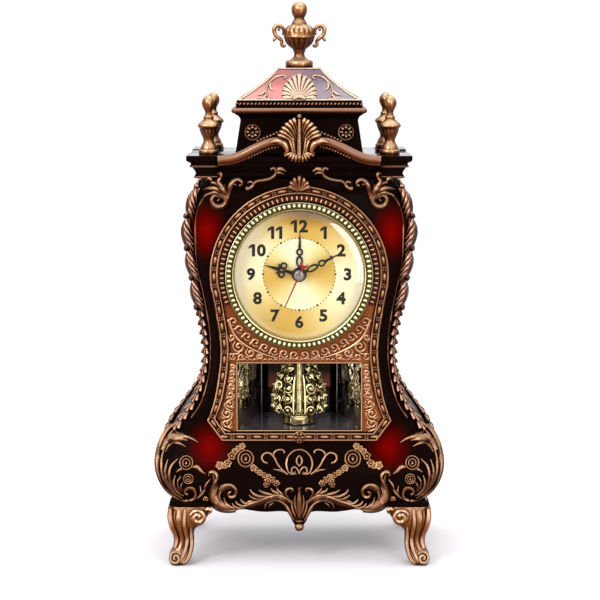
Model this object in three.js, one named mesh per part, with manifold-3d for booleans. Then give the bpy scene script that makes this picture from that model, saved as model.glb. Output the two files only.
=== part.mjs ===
// Table clock in a waisted case on four scroll feet. A quartz movement with an alarm sits behind the dial,
// and a small motor turns a gilt carousel in the mirrored chamber under it.
// Millimetres: X to the right seen from the front, Y to the back, Z up, origin on the table under the middle.
import * as THREE from 'three';
import { mergeVertices } from 'three/addons/utils/BufferGeometryUtils.js';
import Module from 'manifold-3d';

const wasm = await Module();
wasm.setup();

// Fits
const fitGap = 0.3;
const runningGap = 0.25;

// Dial face
const dialOpeningRadius = 46.5;
const dialThickness = 1;
const dialSeatWidth = 2;
const bezelSleeveWall = 2;
const lensLap = 1.6;
const bezelRim = 3.9;
const bezelInnerRadius = dialOpeningRadius - bezelSleeveWall;
const lensRadius = bezelInnerRadius + lensLap;
const bezelOuterRadius = lensRadius + fitGap + bezelRim;
const bezelProud = 6.5;
const lensThickness = 1.2;
const lensRise = 1.6;
const panelThickness = 2;
const gadroonProud = 1.6;
const gadroonWidth = 4.2;
const frameBand = 6;
const frameRadius = bezelOuterRadius + gadroonWidth + 3 * fitGap + frameBand;
const frameThickness = 4;
const frameSideMargin = 10.6;
const windowHalfWidth = 43.2;
const panelSideBar = 4.9;
const frameBottomMargin = 10.5;
const frameFootFlare = 10.3;
const frameBottomHalfWidth = windowHalfWidth + frameBottomMargin;
const frameFootHalfWidth = frameBottomHalfWidth + frameFootFlare;

// Heights, stacked from the table up: feet, belly, window, dial, platform, tower, roof
const footHeight = 42;
const bellyRise = 30;
const bellyTopRise = 14;
const frameBottomRise = 1;
const frameFootRise = 14.2;
const windowSillRise = 7.2;
const windowTall = 48;
const glassLap = 2;
const waistAboveWindow = 5.8;
const dialWindowBar = 10.6;
const shoulderAboveDial = 28.7;
const frameTopMargin = 4.3;
const platformRise = 15.5;
const towerTall = 27.9;
const corniceHeight = 8.8;
const roofTall = 21.5;
const caseBottom = footHeight;
const bellyHeight = caseBottom + bellyRise;
const bellyTop = bellyHeight + bellyTopRise;
const frameBottom = bellyTop + frameBottomRise;
const frameFootHeight = frameBottom + frameFootRise;
const windowBottom = frameBottom + windowSillRise;
const windowTop = windowBottom + windowTall;
const waistHeight = windowTop + waistAboveWindow;
const dialHeight = windowTop + glassLap + dialWindowBar + dialOpeningRadius + dialSeatWidth;
const shoulderHeight = dialHeight + shoulderAboveDial;
const caseTop = dialHeight + frameRadius + frameTopMargin;
const platformTop = caseTop + platformRise;
const towerTop = platformTop + towerTall;
const roofTop = towerTop + corniceHeight + roofTall;

// Case
const caseFront = -46;
const caseBack = 46;
const caseWall = 3;
const frontChamfer = 9;
const rearChamfer = 1.5;
const bellyHalfWidth = 98;
const bellyTuck = 12;
const footprintHalfWidth = bellyHalfWidth - bellyTuck;
const bellyBulge = 9;
const waistHalfWidth = windowHalfWidth + panelSideBar + fitGap + frameBand + frameSideMargin;
const shoulderMargin = 15.1;
const shoulderHalfWidth = frameRadius + shoulderMargin;
const neckHalfWidth = 67.5;

// Ornament moulded on the case
const garlandHalfWidth = 6;
const garlandProud = 4;
const garlandSegment = 20;
const apronDrop = 4.5;
const apronHalfWidth = 58;
const pendantDrop = 19;
const pendantHalfWidth = 9;

// Base plate and feet
const basePlateThickness = 3;
const footInset = 5;
const footTopWidth = 31.5;
const footTopOuter = bellyHalfWidth - footInset;
const footTopInner = footTopOuter - footTopWidth;
const footFront = 58.5;
const footDepth = 24;
const rearFootOverhang = 2;
const ankleHeight = 17.7;
const ankleInset = 5;
const ankleWidth = 13.6;
const ankleOuter = footTopOuter - ankleInset;
const ankleInner = ankleOuter - ankleWidth;
const toeInset = 1;
const toeOuter = footTopOuter - toeInset;
const footVoluteRadius = 6.2;

// Platform, pediment and finials
const platformHalfWidth = 76.2;
const platformHalfDepth = 48;
const platformCove = 6;
const pedimentThickness = 9;
const railPeakX = 15;
const railPeakRise = 10.5;
const railPeakHeight = platformTop + railPeakRise;
const railEndX = 55;
const railEndDrop = 1.9;
const railEndHeight = platformTop - railEndDrop;
const railHalfHeight = 3.3;
const railProud = 4;
const crestRise = 28;
const crestDrop = 3.5;
const crestTop = platformTop + crestRise;
const crestBottom = platformTop - crestDrop;
const crestHalfWidth = 13.5;
const crestThickness = 5;
const finialX = 62;
const finialY = 33;
const finialHeight = 40.7;
const finialBaseRadius = 7.1;
const finialBowlRadius = 7.3;
const finialBudRadius = 4;

// Tower, roof and urn
const towerHalfWidth = 44;
const towerHalfDepth = 30;
const towerWaist = 3.5;
const corniceProud = 2;
const roofTopHalfWidth = 14.5;
const roofTopHalfDepth = 11;
const urnHeight = 46;
const urnBaseRadius = 9.6;
const urnBowlRadius = 10.7;
const urnBallRadius = 5.5;
const urnHandleReach = 18.8;
const urnHandleRadius = 1.3;

// Carousel chamber
const glassThickness = 1.5;
const chamberBackHalfWidth = 27.5;
const chamberBack = 12;
const mirrorThickness = 1.5;
const chamberPlate = 2;

// Carousel and its drive
const carouselY = -20;
const carouselShaftRadius = 1.5;
const carouselPostRadius = 3;
const carouselDrumRadius = 8;
const carouselDrumHeight = 8;
const carouselReach = 19;
const carouselSleeveWall = 1.2;
const carouselFinHalf = 1;
const carouselFinGrip = 0.8;
const carouselGearTeeth = 30;
const motorPinionTeeth = 6;
const carouselGearModule = 0.66;
const carouselGearThickness = 3;
const motorRadius = 9;
const motorLength = 24;
const motorShaftRadius = 1;

// Movement
const movementHalfSize = 29;
const movementWall = 1.5;
const frontPlateThickness = 1.6;
const wheelThickness = 1;
const wheelSpacing = 1.6;
const wheelClearance = 0.5;
const coverHeadroom = 2.6;
const boardThickness = 1;
const boardMargin = 1.5;

// Wheel train: tooth counts, and each arbor by its distance and direction from the hands
const secondPinionTeeth = 6;
const thirdWheelTeeth = 45;
const thirdPinionTeeth = 6;
const minuteWheelTeeth = 48;
const thirdDistance = 12;
const thirdDirection = 90;
const cannonPinionTeeth = 8;
const motionWheelTeeth = 24;
const motionPinionTeeth = 8;
const hourWheelTeeth = 32;
const motionDistance = 12.6;
const motionDirection = 0;
const timePinionTeeth = 8;
const timeDirection = -40;
const secondWheelTeeth = 40;
const intermediatePinionTeeth = 8;
const intermediateDistance = 12.6;
const intermediateDirection = 180;
const intermediateWheelTeeth = 36;
const rotorPinionTeeth = 6;
const rotorDistance = 10.5;
const rotorDirection = -110;
const alarmWheelTeeth = 32;
const alarmPinionTeeth = 8;
const alarmDistance = 13;
const alarmDirection = -60;

// Arbors and nested hand pipes
const arborRadius = 0.6;
const secondArborRadius = 0.5;
const pipeWall = 0.55;
const rotorMagnetRadius = 2.5;
const rotorMagnetThickness = 1.5;
const timeStemRadius = 1.2;
const alarmStemRadius = 0.9;

// Hands: length from the centre, direction in degrees clockwise from twelve, spacing above the dial
const handThickness = 0.4;
const handSpacing = 1.3;
const handClearance = 1;
const alarmHandLength = 29;
const alarmHandTurn = 1;
const hourHandLength = 25;
const hourHandTurn = 285.5;
const minuteHandLength = 32.7;
const minuteHandTurn = 62;
const secondHandLength = 24.3;
const secondHandTurn = 204;
const secondTailLength = 10.5;

// Back: panel, knobs, switch, sounder and battery bay
const backPanelThickness = 2.5;
const knobRadius = 6;
const knobLength = 11.9;
const bayRise = 76;
const bayCentreHeight = caseBottom + bayRise;
const cellRadius = 7;
const cellLength = 50;
const bayWall = 1.6;
const contactThickness = 0.6;
const doorThickness = 1.8;
const doorLap = 3;
const railLip = 1.6;
const switchX = -30;
const switchTravel = 4;
const switchNubWidth = 4;
const switchNubHeight = 3;
const buzzerRadius = 13;
const buzzerThickness = 6;
const buzzerX = -30;
const buzzerAboveBay = 48;
const switchAboveBuzzer = 30;
const buzzerHeight = bayCentreHeight + buzzerAboveBay;
const switchHeight = buzzerHeight + switchAboveBuzzer;

// Tools for making closed solids
const deg = Math.PI / 180;
const mix = (a, b, t) => a + (b - a) * t;
const at = (x, y) => new THREE.Vector2(x, y);

function signedVolume(vertices, triangles) {
  let volume = 0;
  const corner = (i) => new THREE.Vector3().fromArray(vertices, triangles[i] * 3);
  for (let i = 0; i < triangles.length; i += 3) {
    volume += corner(i).dot(corner(i + 1).cross(corner(i + 2))) / 6;
  }
  return volume;
}

// Welds a geometry's shared corners and makes it a solid with its faces pointing out.
function solidOf(geometry) {
  const bare = geometry.clone();
  bare.deleteAttribute('normal');
  bare.deleteAttribute('uv');
  const welded = mergeVertices(bare, 1e-4);
  const vertices = new Float32Array(welded.attributes.position.array);
  const triangles = [];
  for (let i = 0; i < welded.index.count; i += 3) {
    const [a, b, c] = [0, 1, 2].map((k) => welded.index.getX(i + k));
    if (a !== b && b !== c && c !== a) triangles.push(a, b, c);
  }
  if (signedVolume(vertices, triangles) < 0) triangles.reverse();
  return new wasm.Manifold(new wasm.Mesh({
    numProp: 3,
    vertProperties: vertices,
    triVerts: new Uint32Array(triangles),
  }));
}

function geometryOf(solid) {
  const mesh = solid.getMesh();
  const geometry = new THREE.BufferGeometry();
  geometry.setAttribute('position', new THREE.BufferAttribute(mesh.vertProperties, 3));
  geometry.setIndex(new THREE.BufferAttribute(mesh.triVerts, 1));
  geometry.computeVertexNormals();
  return geometry;
}

function join(solids) {
  return solids.reduce((whole, next) => whole.add(next));
}

function cut(solid, tools) {
  return tools.reduce((rest, tool) => rest.subtract(tool), solid);
}

function box(x0, x1, y0, y1, z0, z1) {
  const geometry = new THREE.BoxGeometry(x1 - x0, y1 - y0, z1 - z0);
  return solidOf(geometry.translate((x0 + x1) / 2, (y0 + y1) / 2, (z0 + z1) / 2));
}

// An outline in X and Z, pushed from front to back.
function plate(outline, front, back, holes = []) {
  const shape = new THREE.Shape(outline);
  for (const hole of holes) shape.holes.push(new THREE.Path(hole));
  const geometry = new THREE.ExtrudeGeometry(shape, { depth: back - front, bevelEnabled: false });
  return solidOf(geometry.rotateX(90 * deg).translate(0, back, 0));
}

// An outline in X and Y, pushed upwards.
function slab(outline, bottom, top) {
  const shape = new THREE.Shape(outline);
  const geometry = new THREE.ExtrudeGeometry(shape, { depth: top - bottom, bevelEnabled: false });
  return solidOf(geometry.translate(0, 0, bottom));
}

// A profile of [radius, height] pairs turned about an upright axis.
function turnedUpright(profile, x, y, segments) {
  const geometry = new THREE.LatheGeometry(profile.map(([r, z]) => at(r, z)), segments);
  return solidOf(geometry.rotateX(90 * deg).translate(x, y, 0));
}

// A profile of [radius, depth] pairs turned about an axis that runs from front to back.
function turnedAlong(profile, x, z, segments) {
  const geometry = new THREE.LatheGeometry(profile.map(([r, y]) => at(r, y)), segments);
  return solidOf(geometry.translate(x, 0, z));
}

function rod(x, z, radius, front, back, segments = 12) {
  return turnedAlong([[0, front], [radius, front], [radius, back], [0, back]], x, z, segments);
}

function post(x, y, radius, bottom, top, segments = 12) {
  return turnedUpright([[0, bottom], [radius, bottom], [radius, top], [0, top]], x, y, segments);
}

// A skin over level outlines with equal numbers of corners, from the lowest row to the highest.
function loft(rows) {
  const sides = rows[0].outline.length;
  const steps = rows.length - 1;
  const geometry = new THREE.CylinderGeometry(1, 1, steps, sides, steps);
  const position = geometry.attributes.position;
  for (let i = 0; i < position.count; i += 1) {
    const [x, y, z] = [position.getX(i), position.getY(i), position.getZ(i)];
    const row = rows[Math.round(y + steps / 2)];
    const onAxis = Math.hypot(x, z) < 0.5;
    const side = (Math.round((Math.atan2(x, z) / (2 * Math.PI)) * sides) + sides) % sides;
    const middle = row.outline.reduce((sum, p) => sum.add(p), at(0, 0)).divideScalar(sides);
    const place = onAxis ? middle : row.outline[side];
    position.setXYZ(i, place.x, place.y, row.z);
  }
  return solidOf(geometry);
}

function tube(points, radius, steps, sides) {
  const path = new THREE.CatmullRomCurve3(points.map((p) => new THREE.Vector3(...p)));
  const section = new THREE.Shape(arc(0, 0, radius, 0, 360 - 360 / sides, sides - 1));
  return solidOf(new THREE.ExtrudeGeometry(section, { steps, extrudePath: path }));
}

function arc(x, z, radius, fromDegrees, toDegrees, steps) {
  const points = [];
  for (let i = 0; i <= steps; i += 1) {
    const angle = mix(fromDegrees, toDegrees, i / steps) * deg;
    points.push(at(x + radius * Math.cos(angle), z + radius * Math.sin(angle)));
  }
  return points;
}

function circle(x, z, radius, steps) {
  return arc(x, z, radius, 0, 360 - 360 / steps, steps - 1);
}

function curve(points, steps) {
  return new THREE.SplineCurve(points).getPoints(steps);
}

function rectangle(x0, x1, y0, y1) {
  return [at(x0, y0), at(x1, y0), at(x1, y1), at(x0, y1)];
}

function chamfered(x0, x1, y0, y1, nearChamfer, farChamfer = nearChamfer) {
  return [
    at(x0 + nearChamfer, y0), at(x1 - nearChamfer, y0), at(x1, y0 + nearChamfer), at(x1, y1 - farChamfer),
    at(x1 - farChamfer, y1), at(x0 + farChamfer, y1), at(x0, y1 - farChamfer), at(x0, y0 + nearChamfer),
  ];
}

// The right half of an outline, bottom to top, with its mirror image added.
function mirrored(half) {
  const other = half.filter((p) => p.x > 1e-6).map((p) => at(-p.x, p.y));
  return [...half, ...other.reverse()];
}

// Case outline: half-width and front face at each height
const profileCurve = new THREE.SplineCurve([
  at(footprintHalfWidth, caseBottom),
  at(mix(footprintHalfWidth, bellyHalfWidth, 0.83), mix(caseBottom, bellyHeight, 0.5)),
  at(bellyHalfWidth, bellyHeight),
  at(mix(bellyHalfWidth, waistHalfWidth, 0.36), mix(bellyHeight, waistHeight, 0.3)),
  at(mix(bellyHalfWidth, waistHalfWidth, 0.8), mix(bellyHeight, waistHeight, 0.6)),
  at(waistHalfWidth, waistHeight),
  at(mix(waistHalfWidth, shoulderHalfWidth, 0.5), mix(waistHeight, shoulderHeight, 0.5)),
  at(shoulderHalfWidth, shoulderHeight),
  at(mix(shoulderHalfWidth, neckHalfWidth, 0.4), mix(shoulderHeight, caseTop, 0.55)),
  at(neckHalfWidth, mix(shoulderHeight, caseTop, 0.9)),
  at(neckHalfWidth, caseTop),
]).getPoints(240);

function halfWidthAt(height) {
  const next = profileCurve.findIndex((p) => p.y >= height);
  if (next <= 0) return next === 0 ? footprintHalfWidth : neckHalfWidth;
  const [a, b] = [profileCurve[next - 1], profileCurve[next]];
  return mix(a.x, b.x, (height - a.y) / (b.y - a.y));
}

// The front is flat above the belly and swells forward below it.
function frontAt(height) {
  const fall = THREE.MathUtils.smoothstep(bellyTop - height, 0, bellyTop - bellyHeight);
  const tuck = Math.max(0, (bellyHeight - height) / (bellyHeight - caseBottom));
  return caseFront - bellyBulge * (fall - 0.4 * tuck * tuck);
}

function levels(from, to, steps) {
  return Array.from({ length: steps + 1 }, (_, i) => mix(from, to, i / steps));
}

const caseLevels = [...levels(caseBottom, bellyTop, 5), ...levels(bellyTop, caseTop, 11).slice(1)];

// The case's space drawn in by an inset, run out past the back and the bottom where it is open.
function caseSpace(inset, backRun = 0, bottomRun = 0, topInset = 0) {
  const near = frontChamfer - inset * (2 - Math.SQRT2);
  const far = backRun > 0 ? 0.1 : rearChamfer;
  const rowAt = (z, placed) => {
    const half = halfWidthAt(z) - inset;
    return { z: placed, outline: chamfered(-half, half, frontAt(z) + inset, caseBack + backRun, near, far) };
  };
  const rows = caseLevels.map((z) => rowAt(z, z));
  if (bottomRun > 0) rows.unshift(rowAt(caseBottom, caseBottom - bottomRun));
  rows[rows.length - 1].z -= topInset;
  return loft(rows);
}

// Leaf segments down the upper case, then a narrow string of husks, then the scroll band over the belly
function garland(side, atRear) {
  const rows = [];
  const slant = atRear ? 0 : 45 * deg;
  const out = at(side * Math.cos(slant), -Math.sin(slant));
  const along = at(-out.y, out.x);
  const row = (z, width, proud) => {
    const half = halfWidthAt(z);
    const middle = atRear
      ? at(side * half, caseBack - garlandHalfWidth - rearChamfer - 1)
      : at(side * (half - frontChamfer / 2), frontAt(z) + frontChamfer / 2);
    const corner = (a, b) => middle.clone().addScaledVector(along, a * width).addScaledVector(out, b);
    const sunk = -caseWall / 2;
    rows.push({ z, outline: [corner(-1, 0), corner(-0.5, sunk), corner(0.5, sunk), corner(1, 0),
      corner(0.6, proud), corner(-0.6, proud)] });
  };
  const leafTop = caseTop - 6;
  const leafEnd = leafTop - 4 * garlandSegment;
  const huskEnd = bellyTop + 12;
  for (const z of levels(caseBottom + 4, huskEnd, 4)) row(z, garlandHalfWidth, garlandProud * 0.9);
  for (const z of levels(huskEnd, leafEnd, 5).slice(1)) row(z, garlandHalfWidth * 0.6, garlandProud * 0.8);
  for (let i = 0; i < 4; i += 1) {
    row(leafEnd + garlandSegment * (i + 0.6), garlandHalfWidth, garlandProud);
    row(leafEnd + garlandSegment * (i + 0.98), garlandHalfWidth * 0.5, garlandProud * 0.5);
  }
  return loft(rows);
}

// Scalloped skirt under the front of the case with a leaf hanging at its middle
function apron() {
  const lift = caseBottom + 3;
  const half = curve([
    at(0, caseBottom - pendantDrop), at(pendantHalfWidth * 0.45, caseBottom - pendantDrop + 4),
    at(pendantHalfWidth * 0.5, caseBottom - pendantDrop * 0.6), at(pendantHalfWidth, caseBottom - apronDrop),
    at(apronHalfWidth * 0.45, caseBottom - apronDrop),
    at(apronHalfWidth * 0.75, caseBottom - apronDrop * 0.4), at(apronHalfWidth, caseBottom + 1),
  ], 14);
  const front = frontAt(caseBottom) - 1;
  return plate(mirrored([...half, at(apronHalfWidth, lift)]), front, frontAt(lift) + caseWall / 2);
}

function dialOpening(radius, front, back) {
  return rod(0, dialHeight, radius, front, back, 36);
}

function windowOpening(lap, front, back) {
  const half = windowHalfWidth + lap;
  return box(-half, half, front, back, windowBottom - lap, windowTop + lap);
}

function caseShell() {
  const past = 10;
  const hollow = caseSpace(caseWall, past, past, caseWall);
  const shell = caseSpace(0).subtract(hollow);
  const trimmed = cut(shell, [
    dialOpening(dialOpeningRadius, caseFront - past, caseFront + past),
    windowOpening(0, caseFront - past, caseFront + past),
  ]);
  const garlands = [-1, 1].flatMap((side) => [garland(side, false), garland(side, true)]);
  return join([trimmed, ...garlands, apron()]);
}

function basePlate() {
  const inside = caseSpace(caseWall + fitGap, 0, 0);
  const half = bellyHalfWidth;
  const rear = caseBack - backPanelThickness - 2 * fitGap;
  return inside.intersect(box(-half, half, -half, rear, caseBottom, caseBottom + basePlateThickness));
}

// Scroll foot: a broad top block, a drawn-in ankle and a toe that turns out
function foot(sideX, sideY) {
  const face = sideY < 0 ? footFront : caseBack + rearFootOverhang;
  const rear = face - footDepth;
  const ankleFront = face - 4.5;
  const ankleRear = rear + 7;
  const shape = [
    [0, ankleInner + 3.5, toeOuter - 2, ankleRear + 3, face - 1],
    [2, ankleInner + 1.5, toeOuter, ankleRear + 1.5, face],
    [5, ankleInner + 1.5, toeOuter - 1, ankleRear + 1.5, face - 0.5],
    [mix(5, ankleHeight, 0.45), ankleInner + 1, ankleOuter, ankleRear + 0.5, ankleFront],
    [ankleHeight, ankleInner, ankleOuter, ankleRear, ankleFront],
    [mix(ankleHeight, caseBottom, 0.3), ankleInner - 3, ankleOuter + 2.5, ankleRear - 2.5, ankleFront + 2],
    [mix(ankleHeight, caseBottom, 0.6), footTopInner + 4, footTopOuter - 1, rear + 2, face - 0.5],
    [mix(ankleHeight, caseBottom, 0.85), footTopInner, footTopOuter, rear, face],
    [caseBottom, footTopInner, footTopOuter, rear, face - 0.5],
  ];
  const rows = shape.map(([z, inner, outer, back, front]) => {
    const [x0, x1] = sideX > 0 ? [inner, outer] : [-outer, -inner];
    const [y0, y1] = sideY > 0 ? [back, front] : [-front, -back];
    return { z, outline: chamfered(x0, x1, y0, y1, 3) };
  });
  const volute = rod(sideX * (footTopInner + footVoluteRadius + 2), caseBottom - footVoluteRadius - 1.5,
    footVoluteRadius, Math.min(sideY * face, sideY * rear), Math.max(sideY * face, sideY * rear), 14);
  return loft(rows).add(volute);
}

// Cyma steps up to the platform slab, with the raised front board that carries the swan-neck rail
function topPlatform() {
  const rise = platformTop - caseTop;
  const steps = [[0, 1], [0.1, 0.87], [0.24, 0.95], [0.48, 0.6], [0.6, 0.42], [0.76, 0.28], [0.8, 0], [1, 0]];
  const rows = steps.map(([up, inset]) => {
    const half = platformHalfWidth - inset * platformCove;
    const deep = platformHalfDepth - inset * platformCove;
    return { z: caseTop + up * rise, outline: rectangle(-half, half, -deep, deep) };
  });
  const board = plate(pedimentOutline(), -platformHalfDepth, -platformHalfDepth + pedimentThickness);
  return loft(rows).add(board);
}

// Middle line of the swan-neck rail, from its peak by the crest out to its right end
function railLine() {
  const spread = railEndX - railPeakX;
  const rise = railPeakHeight - railEndHeight;
  return [
    at(0, railPeakHeight - rise * 0.45),
    at(railPeakX * 0.5, railPeakHeight - rise * 0.2),
    at(railPeakX, railPeakHeight),
    at(railPeakX + spread * 0.27, railPeakHeight - rise * 0.35),
    at(railPeakX + spread * 0.54, railPeakHeight - rise * 0.83),
    at(railPeakX + spread * 0.78, railEndHeight),
    at(railEndX, railEndHeight),
  ];
}

function pedimentOutline() {
  const top = curve(railLine(), 14);
  const foot = mix(caseTop, platformTop, 0.85);
  return mirrored([at(0, foot), at(railEndX, foot), ...top.reverse()]);
}

function pedimentRail() {
  const right = railLine();
  const left = right.slice(1).reverse().map((p) => at(-p.x, p.y));
  const back = -platformHalfDepth - fitGap;
  const path = new THREE.CatmullRomCurve3([...left, ...right].map((p) => new THREE.Vector3(p.x, 0, p.y)));
  const proud = railProud;
  const high = railHalfHeight;
  const section = new THREE.Shape([at(0, -high), at(proud * 0.5, -high), at(proud, -high * 0.4),
    at(proud, high * 0.4), at(proud * 0.5, high), at(0, high)]);
  const geometry = new THREE.ExtrudeGeometry(section, { steps: 24, extrudePath: path });
  return placedBefore(solidOf(geometry), back);
}

// Moves a solid so that its rearmost face is at the given depth.
function placedBefore(solid, back) {
  const bounds = new THREE.Box3().setFromBufferAttribute(geometryOf(solid).attributes.position);
  return solidOf(geometryOf(solid).translate(0, back - bounds.max.y, 0));
}

// Acanthus crest: a fan of leaf tips over a stem, with a fluted foot and a hanging tip
function crestLeaf() {
  const tall = crestTop - crestBottom;
  const wide = crestHalfWidth;
  const up = (share) => crestBottom + share * tall;
  const half = curve([
    at(0, up(0)), at(wide * 0.22, up(0.08)), at(wide * 0.56, up(0.16)), at(wide * 0.5, up(0.28)),
    at(wide * 0.2, up(0.42)), at(wide * 0.45, up(0.58)), at(wide * 0.85, up(0.68)), at(wide, up(0.82)),
    at(wide * 0.6, up(0.84)), at(wide * 0.4, up(0.94)), at(0, up(1)),
  ], 18);
  const back = -platformHalfDepth - railProud - 2 * fitGap;
  return plate(mirrored(half), back - crestThickness, back);
}

function finial(x, y) {
  const foot = platformTop;
  const tall = finialHeight;
  return turnedUpright([
    [0, foot], [finialBaseRadius, foot], [finialBaseRadius, foot + tall * 0.12],
    [finialBaseRadius * 0.55, foot + tall * 0.17], [finialBaseRadius * 0.5, foot + tall * 0.24],
    [finialBowlRadius * 0.72, foot + tall * 0.33], [finialBowlRadius, foot + tall * 0.48],
    [finialBowlRadius * 0.82, foot + tall * 0.55], [finialBudRadius, foot + tall * 0.6],
    [finialBudRadius * 0.6, foot + tall * 0.65], [finialBudRadius * 0.95, foot + tall * 0.74],
    [finialBudRadius, foot + tall * 0.83], [finialBudRadius * 0.65, foot + tall * 0.94], [0, foot + tall],
  ], x, y, 8);
}

function towerBody() {
  const tall = towerTop - platformTop;
  const rows = [[0, 0], [0.12, 0], [0.2, 0.4], [0.55, 0.85], [0.83, 1], [1, 0.8]].map(([up, inset]) => {
    const half = towerHalfWidth - inset * towerWaist;
    const deep = towerHalfDepth - inset * towerWaist;
    return { z: platformTop + up * tall, outline: rectangle(-half, half, -deep, deep) };
  });
  return loft(rows);
}

function towerCornice() {
  const steps = [[0, -3], [0.12, 0], [0.46, 0], [0.5, -2.6], [0.6, -2], [0.9, -2], [1, -3]];
  const rows = steps.map(([up, out]) => {
    const half = towerHalfWidth + corniceProud + out;
    const deep = towerHalfDepth + corniceProud + out;
    return { z: towerTop + up * corniceHeight, outline: rectangle(-half, half, -deep, deep) };
  });
  return loft(rows);
}

// Hipped roof with faintly hollow slopes
function roof() {
  const foot = towerTop + corniceHeight;
  const rows = [0, 0.25, 0.5, 0.75, 1].map((up) => {
    const hollow = up + 0.35 * up * (1 - up);
    const half = mix(towerHalfWidth + corniceProud - 4, roofTopHalfWidth, hollow);
    const deep = mix(towerHalfDepth + corniceProud - 4, roofTopHalfDepth, hollow);
    return { z: mix(foot, roofTop, up), outline: rectangle(-half, half, -deep, deep) };
  });
  return loft(rows);
}

// Two-handled urn on a disc foot
function urn() {
  const up = (share) => roofTop + share * urnHeight;
  const body = turnedUpright([
    [0, up(0)], [urnBaseRadius, up(0)], [urnBaseRadius, up(0.07)], [urnBaseRadius * 0.8, up(0.11)],
    [urnBaseRadius * 0.38, up(0.19)], [urnBaseRadius * 0.45, up(0.25)], [urnBaseRadius * 0.42, up(0.29)],
    [urnBowlRadius * 0.75, up(0.38)], [urnBowlRadius, up(0.49)], [urnBowlRadius * 0.95, up(0.54)],
    [urnBowlRadius * 0.5, up(0.64)], [urnBowlRadius * 0.46, up(0.7)], [urnBallRadius * 0.6, up(0.76)],
    [urnBallRadius * 0.85, up(0.81)], [urnBallRadius, up(0.88)], [urnBallRadius * 0.75, up(0.96)], [0, up(1)],
  ], 0, 0, 12);
  const reach = urnHandleReach - urnHandleRadius;
  const handles = [-1, 1].map((side) => tube([
    [side * urnBowlRadius * 0.8, 0, up(0.5)], [side * mix(urnBowlRadius, reach, 0.5), 0, up(0.66)],
    [side * reach, 0, up(0.62)], [side * reach * 0.97, 0, up(0.5)],
    [side * mix(urnBowlRadius, reach, 0.35), 0, up(0.43)], [side * urnBowlRadius * 0.75, 0, up(0.34)],
  ], urnHandleRadius, 10, 5));
  return join([body, ...handles]);
}

// Depths of the layers of the face
const wallBack = caseFront + caseWall;
const panelFront = caseFront - panelThickness;
const bezelFront = panelFront - bezelProud;
const lensSeat = bezelFront + 3.2;

// The band's outline: round over the dial, drawn in at the waist, flared and mitred at the foot
function frameOutline(inset) {
  const radius = frameRadius - inset;
  const meet = -12;
  const waist = waistHalfWidth - frameSideMargin - inset;
  const footCorner = at(frameFootHalfWidth - inset, frameFootHeight + inset * 0.3);
  const top = arc(0, dialHeight, radius, meet, 90, 12);
  const side = curve([
    footCorner, at(mix(waist, footCorner.x, 0.42), mix(footCorner.y, waistHeight, 0.36)),
    at(waist, waistHeight), at(mix(waist, top[0].x, 0.4), mix(waistHeight, top[0].y, 0.55)), top[0],
  ], 10);
  const bottom = frameBottom + inset;
  return mirrored([at(0, bottom), at(frameBottomHalfWidth - inset * 0.41, bottom), ...side, ...top.slice(1)]);
}

function frameSurround() {
  return plate(frameOutline(0), caseFront - frameThickness, caseFront, [frameOutline(frameBand)]);
}

// Scroll-work panel with a gadrooned ring round the bezel
function frontPanel() {
  const sheet = plate(frameOutline(frameBand + fitGap), panelFront, caseFront);
  const inner = bezelOuterRadius + fitGap;
  const outer = inner + gadroonWidth;
  const crown = panelFront - gadroonProud;
  const ring = turnedAlong([[inner, panelFront + 0.5], [inner, crown], [mix(inner, outer, 0.7), crown],
    [outer, panelFront + 0.5], [inner, panelFront + 0.5]], 0, dialHeight, 36);
  return cut(sheet.add(ring), [
    dialOpening(dialOpeningRadius, crown - 1, caseFront + 1),
    windowOpening(0, crown - 1, caseFront + 1),
  ]);
}

// Beaded ring that holds the lens, with a sleeve back through the opening
function bezel() {
  const sleeve = dialOpeningRadius - fitGap;
  const seatRadius = lensRadius + fitGap;
  const end = wallBack - fitGap;
  return turnedAlong([
    [bezelInnerRadius, end], [bezelInnerRadius, lensSeat], [seatRadius, lensSeat],
    [seatRadius, bezelFront + 0.6], [mix(seatRadius, bezelOuterRadius, 0.3), bezelFront],
    [mix(seatRadius, bezelOuterRadius, 0.8), bezelFront + 1],
    [bezelOuterRadius, mix(bezelFront, panelFront, 0.6)], [bezelOuterRadius, panelFront],
    [sleeve, panelFront], [sleeve, end], [bezelInnerRadius, end],
  ], 0, dialHeight, 36);
}

function lens() {
  const front = lensSeat - lensThickness;
  const flat = bezelInnerRadius - 0.5;
  return turnedAlong([
    [0, front - lensRise], [flat * 0.6, front - lensRise * 0.64], [flat, front], [lensRadius, front],
    [lensRadius, lensSeat], [flat, lensSeat], [flat * 0.6, lensSeat - lensRise * 0.64],
    [0, lensSeat - lensRise],
  ], 0, dialHeight, 36);
}

// Pipes round the seconds arbor, each running free inside the next
const minutePipeBore = secondArborRadius + runningGap;
const hourPipeBore = minutePipeBore + pipeWall + runningGap;
const alarmPipeBore = hourPipeBore + pipeWall + runningGap;
const centreHole = alarmPipeBore + pipeWall + runningGap;

function dialPlate() {
  const disc = rod(0, dialHeight, dialOpeningRadius + dialSeatWidth, wallBack, wallBack + dialThickness, 36);
  return disc.subtract(rod(0, dialHeight, centreHole, wallBack - 1, wallBack + dialThickness + 1, 16));
}

// Hands, drawn pointing at twelve and turned clockwise to where they stand
function handFront(place) {
  return wallBack - handClearance - place * handSpacing - handThickness;
}

function turned(outline, clockwise) {
  const [c, s] = [Math.cos(clockwise * deg), Math.sin(clockwise * deg)];
  return outline.map((p) => at(p.x * c + p.y * s, dialHeight - p.x * s + p.y * c));
}

function handPiece(turn, place) {
  const front = handFront(place);
  const back = front + handThickness;
  return (outline, hole) => plate(turned(outline, turn), front, back, hole ? [turned(hole, turn)] : []);
}

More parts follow.
